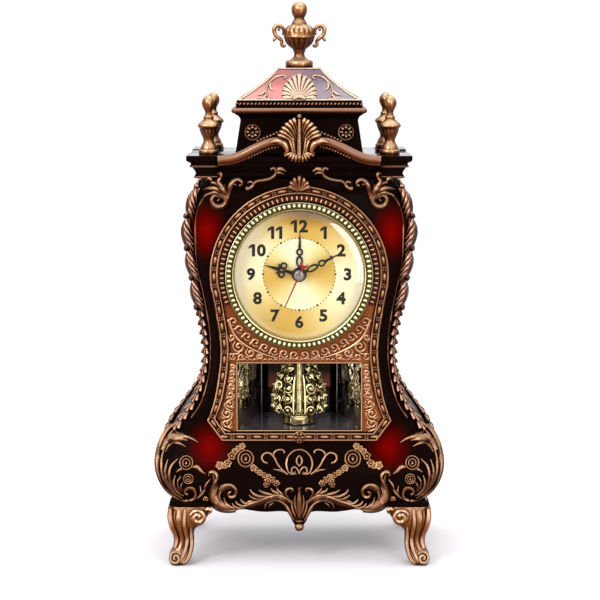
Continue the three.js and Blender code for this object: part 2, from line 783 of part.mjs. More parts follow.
function taper(lowHalf, low, highHalf, high) {
  return [at(-lowHalf, low), at(lowHalf, low), at(highHalf, high), at(-highHalf, high)];
}

// A pierced hand: a collet on its pipe, a stem, loops and a pointed tip
function piercedHand(length, turn, place, bore, width) {
  const piece = handPiece(turn, place);
  const loop = length * 0.1;
  const collet = bore + 1.7;
  const tipHalf = width * 1.6;
  const parts = [
    piece(circle(0, 0, collet, 14)),
    piece(taper(width, collet * 0.7, width * 0.5, length * 0.62)),
    piece([at(0, length * 0.58), at(tipHalf, length * 0.74), at(0, length), at(-tipHalf, length * 0.74)]),
  ];
  for (const side of [-1, 1]) {
    const [x, z] = [side * loop * 0.85, length * 0.5];
    parts.push(piece(circle(x, z, loop, 8), circle(x, z, loop * 0.5, 8).reverse()));
  }
  const front = handFront(place);
  return join(parts).subtract(rod(0, dialHeight, bore, front - 1, front + 2, 16));
}

function secondHand() {
  const place = 3;
  const piece = handPiece(secondHandTurn, place);
  const width = 0.45;
  const [ring, ringZ] = [2.2, -secondTailLength + 2.2];
  const front = handFront(place);
  return join([
    piece(circle(0, 0, 1.9, 12)),
    piece(taper(width, ringZ + 1.5, width * 0.6, secondHandLength)),
    piece(circle(0, ringZ, ring, 10), circle(0, ringZ, ring * 0.55, 10).reverse()),
  ]).subtract(rod(0, dialHeight, secondArborRadius + fitGap / 2, front - 1, front + 2, 12));
}

// Chamber under the dial: glass in front, mirrors at the sides and back, plates above and below
const glassBack = wallBack + glassThickness;
const chamberFront = glassBack + fitGap;
const mirrorFrontHalfWidth = windowHalfWidth + 1;

function windowGlass() {
  return windowOpening(glassLap, wallBack, glassBack);
}

function sideMirror(side) {
  const near = at(mirrorFrontHalfWidth, chamberFront);
  const far = at(chamberBackHalfWidth, chamberBack);
  const run = far.clone().sub(near).normalize();
  const out = at(run.y, -run.x).multiplyScalar(mirrorThickness);
  const corners = [near, near.clone().add(out), far.clone().add(out), far];
  return slab(corners.map((p) => at(side * p.x, p.y)), windowBottom, windowTop);
}

function backMirror() {
  const half = chamberBackHalfWidth - fitGap;
  return box(-half, half, chamberBack, chamberBack + mirrorThickness, windowBottom, windowTop);
}

function chamberPlateAt(bottom, holeRadius) {
  const lap = mirrorThickness + 1;
  const half = [at(0, chamberFront), at(mirrorFrontHalfWidth + lap, chamberFront),
    at(chamberBackHalfWidth + lap, chamberBack + mirrorThickness), at(0, chamberBack + mirrorThickness)];
  const hole = post(0, carouselY, holeRadius, bottom - 1, bottom + chamberPlate + 1, 16);
  return slab(mirrored(half), bottom, bottom + chamberPlate).subtract(hole);
}

const floorBottom = windowBottom - chamberPlate;
const carouselPivotRadius = carouselShaftRadius * 0.8;

function chamberFloor() {
  return chamberPlateAt(floorBottom, carouselShaftRadius + runningGap);
}

function chamberCeiling() {
  return chamberPlateAt(windowTop, carouselPivotRadius + runningGap);
}

// Carousel: shaft, drum and post in one turning; four scrolled fins on a sleeve; a gear under the floor
const gearTop = floorBottom - 1;
const gearBottom = gearTop - carouselGearThickness;
const drumBottom = windowBottom + fitGap;
const drumTop = drumBottom + carouselDrumHeight;

function carouselPost() {
  const top = windowTop - fitGap;
  return turnedUpright([
    [0, gearBottom], [carouselShaftRadius, gearBottom], [carouselShaftRadius, drumBottom],
    [carouselDrumRadius, drumBottom], [carouselDrumRadius, drumBottom + carouselDrumHeight * 0.7],
    [carouselDrumRadius * 0.7, drumTop], [carouselPostRadius, drumTop], [carouselPostRadius, top],
    [carouselPivotRadius, top], [carouselPivotRadius, windowTop + chamberPlate - fitGap],
    [0, windowTop + chamberPlate - fitGap],
  ], 0, carouselY, 16);
}

function carouselScrolls() {
  const bore = carouselPostRadius + fitGap / 2;
  const sleeve = bore + carouselSleeveWall;
  const [low, high] = [drumTop + fitGap, windowTop - 2 * fitGap];
  const tall = high - low;
  const hub = post(0, 0, sleeve, low, high, 16);
  const scroll = (side, radius, share) => {
    const x = side * (sleeve - carouselFinGrip + radius);
    const z = low + share * tall;
    const eye = circle(x, z, radius * 0.6, 10).reverse();
    return plate(circle(x, z, radius, 10), -carouselFinHalf, carouselFinHalf, [eye]);
  };
  const big = (carouselReach - sleeve + carouselFinGrip) / 2;
  const pair = join([-1, 1].flatMap((side) => [
    scroll(side, big, 0.28), scroll(side, big * 0.8, 0.72),
  ]));
  const crossed = solidOf(geometryOf(pair).rotateZ(90 * deg));
  const whole = join([hub, pair, crossed]).subtract(post(0, 0, bore, low - 1, high + 1, 16));
  return solidOf(geometryOf(whole).translate(0, carouselY, 0));
}

// Toothed wheels with pointed teeth and free backlash
const addendum = 0.72;
const dedendum = 1.1;
const rootShare = 0.34;

function pitchRadius(teeth, mateTeeth, distance) {
  return (distance * teeth) / (teeth + mateTeeth);
}

function toothed(teeth, radius, phase, x, z) {
  const module = (2 * radius) / teeth;
  const pitch = 360 / teeth;
  const outline = [];
  for (let i = 0; i < teeth; i += 1) {
    const middle = phase + i * pitch;
    const corners = [[-rootShare, -dedendum], [0, addendum], [rootShare, -dedendum]];
    for (const [turn, out] of corners) {
      const angle = (middle + turn * pitch) * deg;
      const reach = radius + out * module;
      outline.push(at(x + reach * Math.cos(angle), z + reach * Math.sin(angle)));
    }
  }
  return outline;
}

// The phase that puts a gap of the second wheel where the first, standing at its own phase, has a tooth.
function meshPhase(direction, phase, teeth, mateTeeth) {
  const share = ((direction - phase) / (360 / teeth)) % 1;
  return direction + 180 + (share + 0.5) * (360 / mateTeeth);
}

function polar(x, z, distance, direction) {
  return [x + distance * Math.cos(direction * deg), z + distance * Math.sin(direction * deg)];
}

// Depths inside the movement, front to back
const plateFront = wallBack + dialThickness;
const plateBack = plateFront + frontPlateThickness;
const levelFront = (level) => plateBack + wheelClearance + level * wheelSpacing;
const alarmLevel = 0;
const hourLevel = 1;
const motionLevel = 2;
const minuteLevel = 3;
const thirdLevel = 4;
const secondLevel = 5;
const intermediateLevel = 6;
const coverInside = levelFront(intermediateLevel) + wheelThickness + coverHeadroom;
const coverBack = coverInside + movementWall;
const arborFront = plateFront + fitGap;
const arborBack = coverBack - fitGap;

// Arbor places
const handAxis = [0, dialHeight];
const thirdAxis = polar(...handAxis, thirdDistance, thirdDirection);
const motionAxis = polar(...handAxis, motionDistance, motionDirection);
const timeAxis = polar(...motionAxis, motionDistance, timeDirection);
const intermediateAxis = polar(...handAxis, intermediateDistance, intermediateDirection);
const rotorAxis = polar(...intermediateAxis, rotorDistance, rotorDirection);
const alarmAxis = polar(...handAxis, alarmDistance, alarmDirection);

function wheelAt(level, teeth, radius, phase, axis) {
  const front = levelFront(level);
  return plate(toothed(teeth, radius, phase, ...axis), front, front + wheelThickness);
}

function arbor(axis, radius = arborRadius) {
  return rod(...axis, radius, arborFront, arborBack, 8);
}

function secondWheel() {
  const pinion = wheelAt(thirdLevel, secondPinionTeeth,
    pitchRadius(secondPinionTeeth, thirdWheelTeeth, thirdDistance), 0, handAxis);
  const wheel = wheelAt(secondLevel, secondWheelTeeth,
    pitchRadius(secondWheelTeeth, intermediatePinionTeeth, intermediateDistance), 0, handAxis);
  return join([rod(...handAxis, secondArborRadius, handFront(3) - fitGap, arborBack, 16), pinion, wheel]);
}

function thirdWheel() {
  const wheel = wheelAt(thirdLevel, thirdWheelTeeth,
    pitchRadius(thirdWheelTeeth, secondPinionTeeth, thirdDistance),
    meshPhase(thirdDirection, 0, secondPinionTeeth, thirdWheelTeeth), thirdAxis);
  const pinion = wheelAt(minuteLevel, thirdPinionTeeth,
    pitchRadius(thirdPinionTeeth, minuteWheelTeeth, thirdDistance),
    meshPhase(thirdDirection, 0, minuteWheelTeeth, thirdPinionTeeth), thirdAxis);
  return join([arbor(thirdAxis), wheel, pinion]);
}

// A wheel on a pipe that carries a hand in front of the dial
function pipedWheel(level, wheels, bore, handPlace) {
  const rear = levelFront(level) + wheelThickness;
  const front = handFront(handPlace) - fitGap;
  const pipe = rod(...handAxis, bore + pipeWall, front, rear, 16);
  return join([pipe, ...wheels]).subtract(rod(...handAxis, bore, front - 1, rear + 1, 16));
}

function minuteWheel() {
  const wheel = wheelAt(minuteLevel, minuteWheelTeeth,
    pitchRadius(minuteWheelTeeth, thirdPinionTeeth, thirdDistance), 0, handAxis);
  const cannon = wheelAt(motionLevel, cannonPinionTeeth,
    pitchRadius(cannonPinionTeeth, motionWheelTeeth, motionDistance), 0, handAxis);
  return pipedWheel(minuteLevel, [wheel, cannon], minutePipeBore, 2);
}

const motionPhase = meshPhase(motionDirection, 0, cannonPinionTeeth, motionWheelTeeth);

function motionWheel() {
  const wheel = wheelAt(motionLevel, motionWheelTeeth,
    pitchRadius(motionWheelTeeth, cannonPinionTeeth, motionDistance), motionPhase, motionAxis);
  const pinion = wheelAt(hourLevel, motionPinionTeeth,
    pitchRadius(motionPinionTeeth, hourWheelTeeth, motionDistance),
    meshPhase(motionDirection, 0, hourWheelTeeth, motionPinionTeeth), motionAxis);
  return join([arbor(motionAxis), wheel, pinion]);
}

function hourWheel() {
  const wheel = wheelAt(hourLevel, hourWheelTeeth,
    pitchRadius(hourWheelTeeth, motionPinionTeeth, motionDistance), 0, handAxis);
  return pipedWheel(hourLevel, [wheel], hourPipeBore, 1);
}

function alarmWheel() {
  const wheel = wheelAt(alarmLevel, alarmWheelTeeth,
    pitchRadius(alarmWheelTeeth, alarmPinionTeeth, alarmDistance), 0, handAxis);
  return pipedWheel(alarmLevel, [wheel], alarmPipeBore, 0);
}

const intermediatePhase = 0;

function intermediateWheel() {
  const wheel = wheelAt(intermediateLevel, intermediateWheelTeeth,
    pitchRadius(intermediateWheelTeeth, rotorPinionTeeth, rotorDistance),
    intermediatePhase, intermediateAxis);
  const pinion = wheelAt(secondLevel, intermediatePinionTeeth,
    pitchRadius(intermediatePinionTeeth, secondWheelTeeth, intermediateDistance),
    meshPhase(intermediateDirection, 0, secondWheelTeeth, intermediatePinionTeeth), intermediateAxis);
  return join([arbor(intermediateAxis), wheel, pinion]);
}

const magnetBack = levelFront(intermediateLevel) - wheelClearance;
const magnetFront = magnetBack - rotorMagnetThickness;

function rotor() {
  const pinion = wheelAt(intermediateLevel, rotorPinionTeeth,
    pitchRadius(rotorPinionTeeth, intermediateWheelTeeth, rotorDistance),
    meshPhase(rotorDirection, intermediatePhase, intermediateWheelTeeth, rotorPinionTeeth), rotorAxis);
  return join([arbor(rotorAxis), pinion, rod(...rotorAxis, rotorMagnetRadius, magnetFront, magnetBack, 16)]);
}

// Laminated plate round the rotor magnet, and the drive coil under it
const statorHalfWidth = 8;
const statorBelow = 6;

function stator() {
  const [x, z] = rotorAxis;
  const above = rotorMagnetRadius + runningGap + 1.6;
  const sheet = box(x - statorHalfWidth, x + above, magnetFront, magnetBack, z - statorBelow, z + above);
  return sheet.subtract(rod(x, z, rotorMagnetRadius + 2 * runningGap, magnetFront - 1, magnetBack + 1, 16));
}

function coil() {
  const [x, z] = rotorAxis;
  const top = z - statorBelow - fitGap;
  return box(x - statorHalfWidth, x + 4, magnetFront - 3, magnetBack, top - 8, top);
}

function arborHoles(front, back) {
  const bores = [[thirdAxis, arborRadius], [motionAxis, arborRadius], [intermediateAxis, arborRadius],
    [rotorAxis, arborRadius], [timeAxis, timeStemRadius], [alarmAxis, alarmStemRadius]];
  return bores.map(([axis, radius]) => rod(...axis, radius + runningGap, front, back, 8));
}

function movementSquare(half, front, back) {
  return box(-half, half, front, back, dialHeight - half, dialHeight + half);
}

function movementFrontPlate() {
  const sheet = movementSquare(movementHalfSize, plateFront, plateBack);
  const holes = arborHoles(plateFront - 1, plateBack + 1);
  return cut(sheet, [...holes, rod(...handAxis, centreHole, plateFront - 1, plateBack + 1, 16)]);
}

function movementRearCover() {
  const inside = movementSquare(movementHalfSize - movementWall, plateBack - 1, coverInside);
  const tray = movementSquare(movementHalfSize, plateBack, coverBack).subtract(inside);
  const holes = arborHoles(coverInside - 1, coverBack + 1);
  const centre = rod(...handAxis, secondArborRadius + runningGap, coverInside - 1, coverBack + 1);
  return cut(tray, [...holes, centre]);
}

function circuitBoard() {
  const half = movementHalfSize - movementWall - fitGap;
  const top = alarmAxis[1] - alarmStemRadius - boardMargin;
  const back = coverInside - fitGap;
  return box(-half, half, back - boardThickness, back, dialHeight - half, top);
}

// Setting knobs behind the back panel, on long stems from the movement
function settingKnob(axis, stemRadius, pinion) {
  const near = caseBack + 2 * fitGap;
  const far = near + knobLength;
  const grip = turnedAlong([
    [0, near], [knobRadius * 0.8, near], [knobRadius, near + 1.2], [knobRadius, far - 0.8],
    [knobRadius * 0.88, far], [0, far],
  ], ...axis, 14);
  return join([rod(...axis, stemRadius, arborFront, near + 1, 8), pinion, grip]);
}

function timeKnob() {
  const pinion = wheelAt(motionLevel, timePinionTeeth,
    pitchRadius(timePinionTeeth, motionWheelTeeth, motionDistance),
    meshPhase(timeDirection, motionPhase, motionWheelTeeth, timePinionTeeth), timeAxis);
  return settingKnob(timeAxis, timeStemRadius, pinion);
}

function alarmKnob() {
  const pinion = wheelAt(alarmLevel, alarmPinionTeeth,
    pitchRadius(alarmPinionTeeth, alarmWheelTeeth, alarmDistance),
    meshPhase(alarmDirection, 0, alarmWheelTeeth, alarmPinionTeeth), alarmAxis);
  return settingKnob(alarmAxis, alarmStemRadius, pinion);
}

// Carousel drive under the chamber floor
const driveDistance = (carouselGearModule * (carouselGearTeeth + motorPinionTeeth)) / 2;
const driveDirection = 90;
const motorAxis = polar(0, carouselY, driveDistance, driveDirection);
const motorTop = gearBottom - 1.2;
const motorShaftDepth = 6;

function carouselGear() {
  const radius = pitchRadius(carouselGearTeeth, motorPinionTeeth, driveDistance);
  const wheel = slab(toothed(carouselGearTeeth, radius, 0, 0, carouselY), gearBottom, gearTop);
  const bore = carouselShaftRadius + fitGap / 2;
  return wheel.subtract(post(0, carouselY, bore, gearBottom - 1, gearTop + 1, 16));
}

function motorPinion() {
  const radius = pitchRadius(motorPinionTeeth, carouselGearTeeth, driveDistance);
  const phase = meshPhase(driveDirection, 0, carouselGearTeeth, motorPinionTeeth);
  const wheel = slab(toothed(motorPinionTeeth, radius, phase, ...motorAxis), gearBottom, gearTop);
  return wheel.add(post(...motorAxis, motorShaftRadius, motorTop - motorShaftDepth, gearTop));
}

// Motor can with a mounting strap hung from the chamber floor by two pillars
function carouselMotor() {
  const [x, y] = motorAxis;
  const can = post(x, y, motorRadius, motorTop - motorLength, motorTop, 20);
  const pillarX = motorRadius + 4;
  const pillarRadius = 2;
  const strapReach = pillarX + pillarRadius + 0.5;
  const strap = box(x - strapReach, x + strapReach, y + 2, y + 8, motorTop - 2, motorTop);
  const pillars = [-1, 1].map((side) => (
    post(x + side * pillarX, y + 5, pillarRadius, motorTop - 1, floorBottom)
  ));
  const bore = post(x, y, motorShaftRadius + runningGap, motorTop - motorShaftDepth - fitGap, motorTop + 1);
  return join([can, strap, ...pillars]).subtract(bore);
}

// Battery bay, opening out through the back panel
const backPanelFront = caseBack - backPanelThickness;
const bayHalfWidth = cellLength / 2 + contactThickness + 2 * fitGap;
const bayHalfHeight = 2 * cellRadius + 1.5 * fitGap;
const bayFloor = caseBack - 2 * cellRadius - 2 * fitGap;
const doorHalfWidth = bayHalfWidth + doorLap;
const doorHalfHeight = bayHalfHeight + doorLap;
const doorFront = caseBack + fitGap;
const doorBack = doorFront + doorThickness;

function bayBox(grow, front, back) {
  const [halfX, halfZ] = [bayHalfWidth + grow, bayHalfHeight + grow];
  return box(-halfX, halfX, front, back, bayCentreHeight - halfZ, bayCentreHeight + halfZ);
}

// Angle rails on both sides of the battery door and the sill that it stands on
function doorRails() {
  const inner = doorHalfWidth + fitGap;
  const outer = inner + 2;
  const lipFront = doorBack + fitGap;
  const [low, high] = [bayCentreHeight - doorHalfHeight - 2, bayCentreHeight + doorHalfHeight];
  const sill = box(-outer, outer, caseBack - 0.5, lipFront + 1.5, low, low + 2 - fitGap);
  const rails = [-1, 1].flatMap((side) => {
    const span = (a, b) => [Math.min(side * a, side * b), Math.max(side * a, side * b)];
    return [
      box(...span(inner, outer), caseBack - 0.5, lipFront + 1.5, low, high),
      box(...span(inner - railLip, outer), lipFront, lipFront + 1.5, low, high),
    ];
  });
  return [sill, ...rails];
}

const slotHalfWidth = (switchNubWidth + switchTravel) / 2 + fitGap;
const slotHalfHeight = switchNubHeight / 2 + fitGap;

function soundSlots() {
  return [-1, 0, 1].map((i) => {
    const z = buzzerHeight + i * buzzerRadius * 0.4;
    const half = buzzerRadius * 0.5;
    return box(buzzerX - half, buzzerX + half, backPanelFront - 1, caseBack + 1, z - 0.8, z + 0.8);
  });
}

function backPanel() {
  const wide = bellyHalfWidth + 1;
  const space = caseSpace(caseWall + fitGap, 10, 0, caseWall + fitGap);
  const sheet = space.intersect(box(-wide, wide, backPanelFront, caseBack, caseBottom - 1, caseTop + 1));
  const built = join([sheet, bayBox(bayWall, bayFloor - bayWall, caseBack), ...doorRails()]);
  return cut(built, [
    bayBox(0, bayFloor, caseBack + 1),
    rod(...timeAxis, timeStemRadius + 2 * runningGap, backPanelFront - 1, caseBack + 1),
    rod(...alarmAxis, alarmStemRadius + 2 * runningGap, backPanelFront - 1, caseBack + 1),
    box(switchX - slotHalfWidth, switchX + slotHalfWidth, backPanelFront - 1, caseBack + 1,
      switchHeight - slotHalfHeight, switchHeight + slotHalfHeight),
    ...soundSlots(),
  ]);
}

// A cell lying across the bay, with the raised cap of its positive end towards the given side
function cell(row, capSide) {
  const y = bayFloor + fitGap + cellRadius;
  const z = bayCentreHeight + row * (cellRadius + fitGap / 2);
  const cap = 1;
  const half = cellLength / 2;
  const capRadius = 2.7;
  const profile = [[0, -half], [cellRadius, -half], [cellRadius, half - cap], [capRadius, half - cap],
    [capRadius, half], [0, half]];
  const geometry = new THREE.LatheGeometry(profile.map(([r, x]) => at(r, x)), 18);
  return solidOf(geometry.rotateZ(-capSide * 90 * deg).translate(0, y, z));
}

function contactStrip(side) {
  const near = cellLength / 2 + fitGap;
  const [x0, x1] = [near, near + contactThickness].map((x) => side * x).sort((a, b) => a - b);
  const half = bayHalfHeight - 1;
  return box(x0, x1, bayFloor + fitGap, caseBack - 1, bayCentreHeight - half, bayCentreHeight + half);
}

function batteryDoor() {
  const [x, z] = [doorHalfWidth, doorHalfHeight];
  const sheet = box(-x, x, doorFront, doorBack, bayCentreHeight - z, bayCentreHeight + z);
  const gripHalf = 9;
  const gripTop = bayCentreHeight + z - 4;
  const grip = box(-gripHalf, gripHalf, doorBack - 0.5, doorBack + 1.2, gripTop - 3, gripTop);
  return sheet.add(grip);
}

// Alarm slide switch: a nub through the slot on a wider slide behind the panel
function alarmSwitch() {
  const x = switchX - switchTravel / 2;
  const slideBack = backPanelFront - fitGap;
  const slideHalf = switchNubWidth / 2 + switchTravel + 1;
  const slide = box(x - slideHalf, x + slideHalf, slideBack - 1, slideBack,
    switchHeight - switchNubHeight, switchHeight + switchNubHeight);
  const nub = box(x - switchNubWidth / 2, x + switchNubWidth / 2, slideBack - 0.5, caseBack + 1.6,
    switchHeight - switchNubHeight / 2, switchHeight + switchNubHeight / 2);
  return slide.add(nub);
}

function buzzer() {
  return turnedAlong([
    [0, backPanelFront - buzzerThickness], [buzzerRadius * 0.85, backPanelFront - buzzerThickness],
    [buzzerRadius, backPanelFront - buzzerThickness + 1], [buzzerRadius, backPanelFront], [0, backPanelFront],
  ], buzzerX, buzzerHeight, 24);
}

// Finishes
const finishes = {
  lacquer: { color: 0x2a120d, roughness: 0.25, metalness: 0.0 },
  bronze: { color: 0x9a6238, roughness: 0.4, metalness: 0.6 },
  copper: { color: 0x84492c, roughness: 0.45, metalness: 0.5 },
  roofGlaze: { color: 0x7c2a26, roughness: 0.12, metalness: 0.0 },
  paleGold: { color: 0xb7ab6c, roughness: 0.35, metalness: 0.8 },
  gilt: { color: 0xc79a2e, roughness: 0.2, metalness: 0.9 },
  dial: { color: 0xe9dba0, roughness: 0.6, metalness: 0.1 },
  glass: { color: 0xdfe8ea, roughness: 0.05, metalness: 0.0 },
  mirror: { color: 0xb9bec2, roughness: 0.05, metalness: 1.0 },
  blackHand: { color: 0x111111, roughness: 0.4, metalness: 0.2 },
  redHand: { color: 0xb02020, roughness: 0.4, metalness: 0.2 },
  blackPlastic: { color: 0x1b1b1c, roughness: 0.5, metalness: 0.0 },
  whitePlastic: { color: 0xe6e4dc, roughness: 0.5, metalness: 0.0 },
  brass: { color: 0xc2a24f, roughness: 0.35, metalness: 0.9 },
  steel: { color: 0xb5b7ba, roughness: 0.3, metalness: 0.9 },
  copperWire: { color: 0xb5652e, roughness: 0.4, metalness: 0.8 },
  circuitGreen: { color: 0x2c6b3a, roughness: 0.5, metalness: 0.0 },
};

const clock = new THREE.Group();
clock.name = 'table_clock';

function addPiece(name, finish, solid) {
  const mesh = new THREE.Mesh(geometryOf(solid), new THREE.MeshStandardMaterial(finishes[finish]));
  mesh.name = name;
  clock.add(mesh);
}

// Case and its architecture
addPiece('case_shell', 'lacquer', caseShell());
addPiece('base_plate', 'blackPlastic', basePlate());
addPiece('top_platform', 'lacquer', topPlatform());
addPiece('pediment_rail', 'bronze', pedimentRail());
addPiece('crest_leaf', 'bronze', crestLeaf());
addPiece('tower_body', 'lacquer', towerBody());
addPiece('tower_cornice', 'bronze', towerCornice());
addPiece('roof', 'roofGlaze', roof());
addPiece('urn', 'bronze', urn());
const corners = [['front_left', -1, -1], ['front_right', 1, -1], ['rear_left', -1, 1], ['rear_right', 1, 1]];
for (const [corner, sideX, sideY] of corners) {
  addPiece(`finial_${corner}`, 'bronze', finial(sideX * finialX, sideY * finialY));
  addPiece(`foot_${corner}`, 'bronze', foot(sideX, sideY));
}

// Face
addPiece('frame_surround', 'copper', frameSurround());
addPiece('front_panel', 'copper', frontPanel());
addPiece('bezel', 'paleGold', bezel());
addPiece('lens', 'glass', lens());
addPiece('dial_plate', 'dial', dialPlate());
const onPipe = pipeWall + fitGap / 2;
const hands = [
  ['alarm_hand', alarmHandLength, alarmHandTurn, alarmPipeBore, 0.8],
  ['hour_hand', hourHandLength, hourHandTurn, hourPipeBore, 1],
  ['minute_hand', minuteHandLength, minuteHandTurn, minutePipeBore, 0.9],
];
hands.forEach(([name, length, turn, pipeBore, width], place) => {
  addPiece(name, 'blackHand', piercedHand(length, turn, place, pipeBore + onPipe, width));
});
addPiece('second_hand', 'redHand', secondHand());

// Carousel chamber
addPiece('window_glass', 'glass', windowGlass());
addPiece('mirror_left', 'mirror', sideMirror(-1));
addPiece('mirror_right', 'mirror', sideMirror(1));
addPiece('mirror_back', 'mirror', backMirror());
addPiece('chamber_floor', 'blackPlastic', chamberFloor());
addPiece('chamber_ceiling', 'blackPlastic', chamberCeiling());
addPiece('carousel_post', 'gilt', carouselPost());
addPiece('carousel_scrolls', 'gilt', carouselScrolls());
addPiece('carousel_gear', 'whitePlastic', carouselGear());
addPiece('motor_pinion', 'brass', motorPinion());
addPiece('carousel_motor', 'steel', carouselMotor());

// Movement
addPiece('movement_front_plate', 'whitePlastic', movementFrontPlate());
addPiece('movement_rear_cover', 'blackPlastic', movementRearCover());
addPiece('circuit_board', 'circuitGreen', circuitBoard());
addPiece('stator', 'steel', stator());
addPiece('coil', 'copperWire', coil());
addPiece('rotor', 'steel', rotor());
addPiece('intermediate_wheel', 'whitePlastic', intermediateWheel());
addPiece('second_wheel', 'brass', secondWheel());
addPiece('third_wheel', 'whitePlastic', thirdWheel());
addPiece('minute_wheel', 'brass', minuteWheel());
addPiece('motion_wheel', 'whitePlastic', motionWheel());
addPiece('hour_wheel', 'whitePlastic', hourWheel());
addPiece('alarm_wheel', 'whitePlastic', alarmWheel());
addPiece('time_knob', 'blackPlastic', timeKnob());
addPiece('alarm_knob', 'blackPlastic', alarmKnob());

// Back
addPiece('back_panel', 'blackPlastic', backPanel());
addPiece('battery_upper', 'steel', cell(1, 1));
addPiece('battery_lower', 'steel', cell(-1, -1));
addPiece('contact_strip_left', 'steel', contactStrip(-1));
addPiece('contact_strip_right', 'steel', contactStrip(1));
addPiece('battery_door', 'blackPlastic', batteryDoor());
addPiece('alarm_switch', 'whitePlastic', alarmSwitch());
addPiece('buzzer', 'blackPlastic', buzzer());

export default clock;
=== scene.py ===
# An ornate table clock: the looks of every visible surface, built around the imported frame
from math import atan2, copysign, cos, degrees, dist, hypot, pi, radians, sin

import bmesh
import bpy
from mathutils import Matrix, Vector


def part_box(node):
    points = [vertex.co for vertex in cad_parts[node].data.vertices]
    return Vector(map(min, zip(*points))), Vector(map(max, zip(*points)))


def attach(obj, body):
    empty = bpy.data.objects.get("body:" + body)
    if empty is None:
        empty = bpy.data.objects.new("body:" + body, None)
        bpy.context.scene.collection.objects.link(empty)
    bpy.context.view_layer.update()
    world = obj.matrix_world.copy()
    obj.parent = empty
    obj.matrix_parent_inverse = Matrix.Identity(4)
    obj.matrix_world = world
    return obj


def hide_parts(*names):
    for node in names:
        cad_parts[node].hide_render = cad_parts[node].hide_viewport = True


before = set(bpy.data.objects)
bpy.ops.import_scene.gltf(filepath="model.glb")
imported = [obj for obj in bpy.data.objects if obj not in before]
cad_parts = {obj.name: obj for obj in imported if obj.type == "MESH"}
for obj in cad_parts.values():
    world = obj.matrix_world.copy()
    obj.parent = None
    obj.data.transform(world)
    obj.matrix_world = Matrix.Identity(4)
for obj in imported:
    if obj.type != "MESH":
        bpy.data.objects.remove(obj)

mm = 0.001
weld = 0.00001  # points closer together than this, in metres, become one
scene = bpy.context.scene
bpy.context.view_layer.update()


# Working tools: every point below is in millimetres, and becomes metres here
def pick(*pieces):
    if bpy.context.object and bpy.context.object.mode != "OBJECT":
        bpy.ops.object.mode_set(mode="OBJECT")
    bpy.ops.object.select_all(action="DESELECT")
    for piece in pieces:
        piece.select_set(True)
    bpy.context.view_layer.objects.active = pieces[0]


def placed(name, data):
    piece = bpy.data.objects.new(name, data)
    scene.collection.objects.link(piece)
    return piece


def meshFrom(name, curve):
    # a curve or a figure as the mesh of a new piece
    piece = placed(name, curve)
    pick(piece)
    bpy.ops.object.convert(target="MESH")
    return piece


def fromPoints(name, points, faces=(), edges=()):
    mesh = bpy.data.meshes.new(name)
    mesh.from_pydata([Vector(p) * mm for p in points], edges, faces)
    return placed(name, mesh)


def edited(piece, *steps):
    pick(piece)
    bpy.ops.object.mode_set(mode="EDIT")
    bpy.ops.mesh.select_mode(type="VERT")
    bpy.ops.mesh.select_all(action="SELECT")
    for step in steps:
        step()
    bpy.ops.mesh.select_all(action="SELECT")
    bpy.ops.mesh.remove_doubles(threshold=weld)
    bpy.ops.mesh.normals_make_consistent(inside=False)
    bpy.ops.object.mode_set(mode="OBJECT")
    return piece


def applied(piece, kind, **settings):
    pick(piece)
    modifier = piece.modifiers.new(kind.lower(), kind)
    for key, value in settings.items():
        setattr(modifier, key, value)
    bpy.ops.object.modifier_apply(modifier=modifier.name)
    return piece


def softened(piece, width, segments=2, angle=35):
    return applied(piece, "BEVEL", width=width * mm, segments=segments, limit_method="ANGLE",
                   angle_limit=radians(angle), harden_normals=False)


def cutBy(piece, tool):
    applied(piece, "BOOLEAN", operation="DIFFERENCE", solver="EXACT", object=tool)
    bpy.data.objects.remove(tool)
    return piece


def joined(name, *pieces):
    pick(*pieces)
    if len(pieces) > 1:
        bpy.ops.object.join()
    pieces[0].name = name
    return pieces[0]


def mirroredX(piece):
    return applied(piece, "MIRROR", use_axis=(True, False, False), use_mirror_merge=True,
        merge_threshold=weld)


def nodeCopy(name, node, bevel):
    # the shape of a node as a new piece, its flat faces made whole again
    piece = placed(name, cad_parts[node].data.copy())
    edited(piece, lambda: bpy.ops.mesh.remove_doubles(threshold=weld),
           lambda: bpy.ops.mesh.dissolve_limited(angle_limit=radians(2)))
    return softened(piece, bevel) if bevel else piece


def finished(piece, material, slot, *nodes, body="case", angle=40):
    pick(piece)
    bpy.ops.object.shade_smooth_by_angle(angle=radians(angle))
    piece.data.materials.clear()
    piece.data.materials.append(material)
    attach(piece, body)
    if nodes:
        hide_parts(*nodes)
    return piece


def smoothLine(points, each=6):
    # a curve through the points, each stretch cut into equal steps
    ends = [points[0], *points, points[-1]]
    line = []
    for a, b, c, d in zip(ends, ends[1:], ends[2:], ends[3:]):
        for k in range(each):
            t = k / each
            line.append(tuple(0.5 * (2 * q + (r - p) * t + (2 * p - 5 * q + 4 * r - s) * t * t
                                     + (3 * q - p - 3 * r + s) * t ** 3) for p, q, r, s in zip(a, b, c, d)))
    return [*line, tuple(points[-1])]


def blendAt(a, b, t):
    return a + (b - a) * t


def spun(name, profile, x=0, y=0, z=0, axis="Z", steps=48):
    # profile: radius and height, or radius and depth for a piece that faces forward
    upright = axis == "Z"
    points = [(x + r, y, z + h) if upright else (x + r, y + h, z) for r, h in profile]
    piece = fromPoints(name, points, edges=[(i, i + 1) for i in range(len(points) - 1)])
    turn = (0, 0, 1) if upright else (0, 1, 0)
    return edited(piece, lambda: bpy.ops.mesh.spin(
        steps=steps, angle=2 * pi, center=Vector((x, y, z)) * mm, axis=turn))


